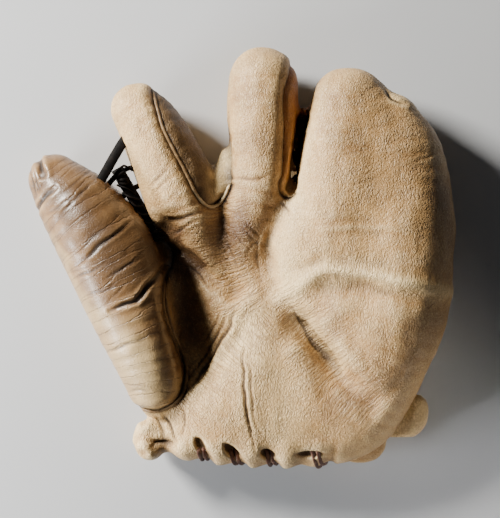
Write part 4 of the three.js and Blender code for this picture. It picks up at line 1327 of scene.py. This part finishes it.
def leather_finish(name, base, deep, pale, rough, grain, crackle, runs, run_scale=0.42, sheen=0.0,
                   painted_shade_strength=1.0):
    """A worn leather: its three tones, and how much of each kind of surface it has."""
    kit = Finish(name)
    place = kit.node("ShaderNodeTexCoord", output="Object")
    line, hollow, swell, seam_painted_shade, flow, flow_side, power, tint = (kit.note(note) for note in SHADE_NAMES)
    # Stains, grain and nets of wrinkles, each at its own size
    patches = kit.noise(place, 32, 4, 0.6)
    clouds = kit.noise(place, 85, 4, 0.65)
    specks = kit.noise(place, 900, 2, 0.6)
    warp = kit.node("ShaderNodeTexNoise", {}, {"Vector": place, "Scale": 260.0, "Detail": 2.0}, "Color")
    bent = kit.node("ShaderNodeVectorMath", {"operation": "MULTIPLY_ADD"}, {
        0: warp, 1: (0.0035, 0.0035, 0.0035), 2: place})
    pebble = kit.node("ShaderNodeTexVoronoi", {"feature": "SMOOTH_F1"}, {
        "Vector": bent, "Scale": 1150.0, "Smoothness": 0.5}, "Distance")
    net = kit.node("ShaderNodeTexVoronoi", {"feature": "DISTANCE_TO_EDGE"}, {
        "Vector": kit.turned(bent, 35, (1, 0.5, 1)), "Scale": 540.0}, "Distance")
    wide_net = kit.node("ShaderNodeTexVoronoi", {"feature": "DISTANCE_TO_EDGE"}, {
        "Vector": kit.turned(bent, -30, (1, 0.5, 1)), "Scale": 185.0}, "Distance")
    # Wrinkles that follow the run that was noted for each point
    run_place = kit.node("ShaderNodeCombineXYZ", {}, {
        "X": flow + (clouds - 0.5) * 5.0, "Y": flow_side * 0.09, "Z": 0.0})
    run = kit.node("ShaderNodeTexVoronoi", {"feature": "DISTANCE_TO_EDGE"}, {
        "Vector": run_place, "Scale": run_scale}, "Distance")
    fine_run = kit.noise(run_place, 1.5, 3, 0.65)
    torn = ((clouds - 0.44) * 5.0).held()
    crack = (1.0 - net * 4.5).held() * (torn * 0.45 + 0.3) + (1.0 - wide_net * 16.0).held() * torn * 0.35
    sharp_run = (1.0 - run * (3.0 / run_scale)).held() * (1.0 - torn * 0.7)
    cross = (sharp_run + ((fine_run - 0.58) * 5.0).held() * 0.35) * power * runs
    # What lies low gets painted shade; what stands high is rubbed pale
    low = ((hollow + 0.08) * -1.3 + line * 0.9).held()
    high = (hollow * 1.6 + swell * 0.17).held()
    # The colour, from the even tone to the painted shade in the hollows and seams
    colour = kit.mix(((patches - 0.43) * 3.0).held() * 0.8, base, deep)
    colour = kit.mix(((clouds - 0.46) * 2.4).held() * 0.42, colour, pale)
    colour = kit.mix((high * 0.85).held(), colour, pale)
    # Paler and darker noted places, painted light and shade among them
    colour = kit.mix((tint * (0.45 + clouds * 0.4)).held(), colour, CREAM)
    colour = kit.mix((tint * -1.0 * (0.5 + clouds * 0.6)).held(), colour, deep)
    colour = kit.mix(((specks - 0.53) * 5.0).held() * 0.42 * grain, colour, deep)
    colour = kit.mix(((0.46 - specks) * 5.0).held() * 0.42 * grain, colour, pale)
    colour = kit.mix((crack * 0.55 * crackle + cross * 0.6).held(), colour, deep)
    # Painted shade: a near-black tone for the darkest noted places, the hollows, narrow creases and seams
    dark = tuple(0.2 * c for c in deep[:3]) + (1,)
    colour = kit.mix((tint * -1.0 - 0.55).held() * 0.7, colour, dark)
    colour = kit.mix(((low * 0.85 + seam_painted_shade * 0.5) * painted_shade_strength).held(), colour, dark)
    kit.set(kit.shader.inputs["Base Color"], colour)
    # Gloss, and the height that is too fine for the mesh
    kit.set(kit.shader.inputs["Roughness"],
            (rough + (clouds - 0.5) * 0.22 + low * 0.2 - high * 0.05 + crack * 0.08).held())
    height = specks * 0.2 + pebble * 0.5 * grain - crack * 0.6 * crackle - cross * 0.9
    bump = kit.node("ShaderNodeBump", {}, {
        "Strength": 0.75, "Distance": 0.0008, "Height": height}, "Normal")
    kit.set(kit.shader.inputs["Normal"], bump)
    kit.shader.inputs["Specular IOR Level"].default_value = 0.42
    kit.shader.inputs["Coat Weight"].default_value = sheen
    kit.shader.inputs["Coat Roughness"].default_value = 0.3
    return kit.material


TAN = leather_finish(
    "tan leather", srgb(190, 150, 96), srgb(112, 78, 46), srgb(228, 200, 150),
    rough=0.46, grain=1.0, crackle=1.0, runs=0.9)
THUMB = leather_finish(
    "stuffed thumb leather", srgb(116, 84, 48), srgb(74, 50, 28), srgb(172, 138, 96),
    rough=0.4, grain=0.35, crackle=0.2, runs=0.6, run_scale=0.12, sheen=0.3)
# Its tones, darker than the ring side's, are painted shade: this side faces away from the window
INDEX_SIDE = leather_finish(
    "shaded side leather", srgb(84, 62, 36), srgb(46, 32, 20), srgb(150, 120, 80),
    rough=0.52, grain=0.8, crackle=0.8, runs=0.0, painted_shade_strength=0.7)
RING_SIDE = leather_finish(
    "orange side leather", srgb(160, 104, 50), srgb(104, 62, 28), srgb(190, 140, 84),
    rough=0.5, grain=0.8, crackle=0.8, runs=0.0, painted_shade_strength=0.25)


# %% [markdown]
# The thongs are waxed and nearly black, the lace of the heel is brown, and the piping is the glove's
# own leather, darkened by hands. One plain finish with a little grain does for all three.

# %% Thongs, lace and piping
def thong_finish(name, base, edge, rough, shine=0.25):
    """Plain waxed leather with patches of a paler tone, for thongs and piping."""
    kit = Finish(name)
    place = kit.node("ShaderNodeTexCoord", output="Object")
    clouds = kit.noise(place, 240, 3, 0.6)
    grain = kit.noise(place, 1500, 2, 0.5)
    colour = kit.mix(((clouds - 0.45) * 2.5).held(), base, edge)
    kit.set(kit.shader.inputs["Base Color"], kit.mix(kit.note("tint"), colour, srgb(206, 184, 146)))
    kit.set(kit.shader.inputs["Roughness"], rough + (grain - 0.5) * 0.3)
    kit.shader.inputs["Specular IOR Level"].default_value = shine
    bump = kit.node("ShaderNodeBump", {}, {
        "Strength": 0.5, "Distance": 0.0003, "Height": grain + clouds}, "Normal")
    kit.set(kit.shader.inputs["Normal"], bump)
    return kit.material


DARK = thong_finish("near-black thong", srgb(9, 7, 6), srgb(32, 25, 21), 0.6, 0.06)
LACE = thong_finish("brown lace", srgb(88, 58, 47), srgb(160, 122, 102), 0.5)
PIPING = thong_finish("rolled piping", srgb(110, 86, 58), srgb(158, 130, 94), 0.45)

FINISHES = {
    "palm_leather": TAN, "thumb_leather": THUMB, "index_side_leather": INDEX_SIDE,
    "ring_side_leather": RING_SIDE, "back_leather": TAN, "wrist_strap": TAN, "cuff_edge": TAN,
    "heel_lace": LACE, "thumb_piping": PIPING, "index_piping": PIPING}
for name, piece in pieces.items():
    piece.data.materials.append(FINISHES.get(name, DARK))
print("finishes on", len(pieces), "pieces")

# %% [markdown]
# The photograph was taken from straight above by window light from the upper left. One lamp stands
# there, a weaker one gives the band of gloss along the thumb, a small one shows the strap's flap in
# the glove's shadow, and a pale sky fills the rest.

# %% Floor, lamps and camera
PALE_FLOOR = (0.5, 0.51, 0.525, 1)
SKY_COLOUR = (0.92, 0.95, 1, 1)
SKY_STRENGTH = 0.05
bpy.ops.mesh.primitive_plane_add(size=6)
floor = bpy.context.object
floor.name = "floor"
floor_finish = Finish("pale floor")
floor_finish.shader.inputs["Base Color"].default_value = PALE_FLOOR
floor_finish.shader.inputs["Roughness"].default_value = 0.8
floor.data.materials.append(floor_finish.material)


def lamp(name, place, target, size, power, colour, spread=180):
    """A flat lamp that looks at its target."""
    data = bpy.data.lights.new(name, "AREA")
    data.spread = math.radians(spread)
    data.shape = "RECTANGLE"
    data.size, data.size_y = size
    data.energy = power
    data.color = colour
    made = bpy.data.objects.new(name, data)
    made.location = place
    made.rotation_euler = (Vector(target) - Vector(place)).to_track_quat("-Z", "Y").to_euler()
    bpy.context.collection.objects.link(made)


lamp("window", (-1.22, 0.79, 0.67), (0, 0, 0.03), (0.4, 0.4), 99, (1, 0.97, 0.91))
lamp("flap", (0.42, -0.42, 0.2), (0.112, -0.106, 0.018), (0.12, 0.12), 0.025, (1, 0.95, 0.86), 14)
lamp("side window", (-0.92, -0.42, 0.3), (-0.1, 0, 0.03), (0.5, 0.12), 19, (0.96, 0.98, 1))
world = bpy.data.worlds.new("sky")
world.use_nodes = True
world.node_tree.nodes["Background"].inputs["Color"].default_value = SKY_COLOUR
world.node_tree.nodes["Background"].inputs["Strength"].default_value = SKY_STRENGTH
bpy.context.scene.world = world

CAMERA_PLACE = (0.0052, 0.0002, 0.975)
LOOKED_AT_HEIGHT = 0.025
SEEN_HEIGHT = 0.3315
SENSOR_HEIGHT = 36
camera_data = bpy.data.cameras.new("camera")
camera_data.sensor_fit = "VERTICAL"
camera_data.sensor_height = SENSOR_HEIGHT
camera_data.lens = SENSOR_HEIGHT * (CAMERA_PLACE[2] - LOOKED_AT_HEIGHT) / SEEN_HEIGHT
camera = bpy.data.objects.new("camera", camera_data)
camera.location = CAMERA_PLACE
bpy.context.collection.objects.link(camera)
bpy.context.scene.camera = camera
print("camera lens", round(camera_data.lens, 1), "mm")

# %% [markdown]
# The last cell brings the scene up to date.

# %% Bring the scene up to date
bpy.context.view_layer.update()
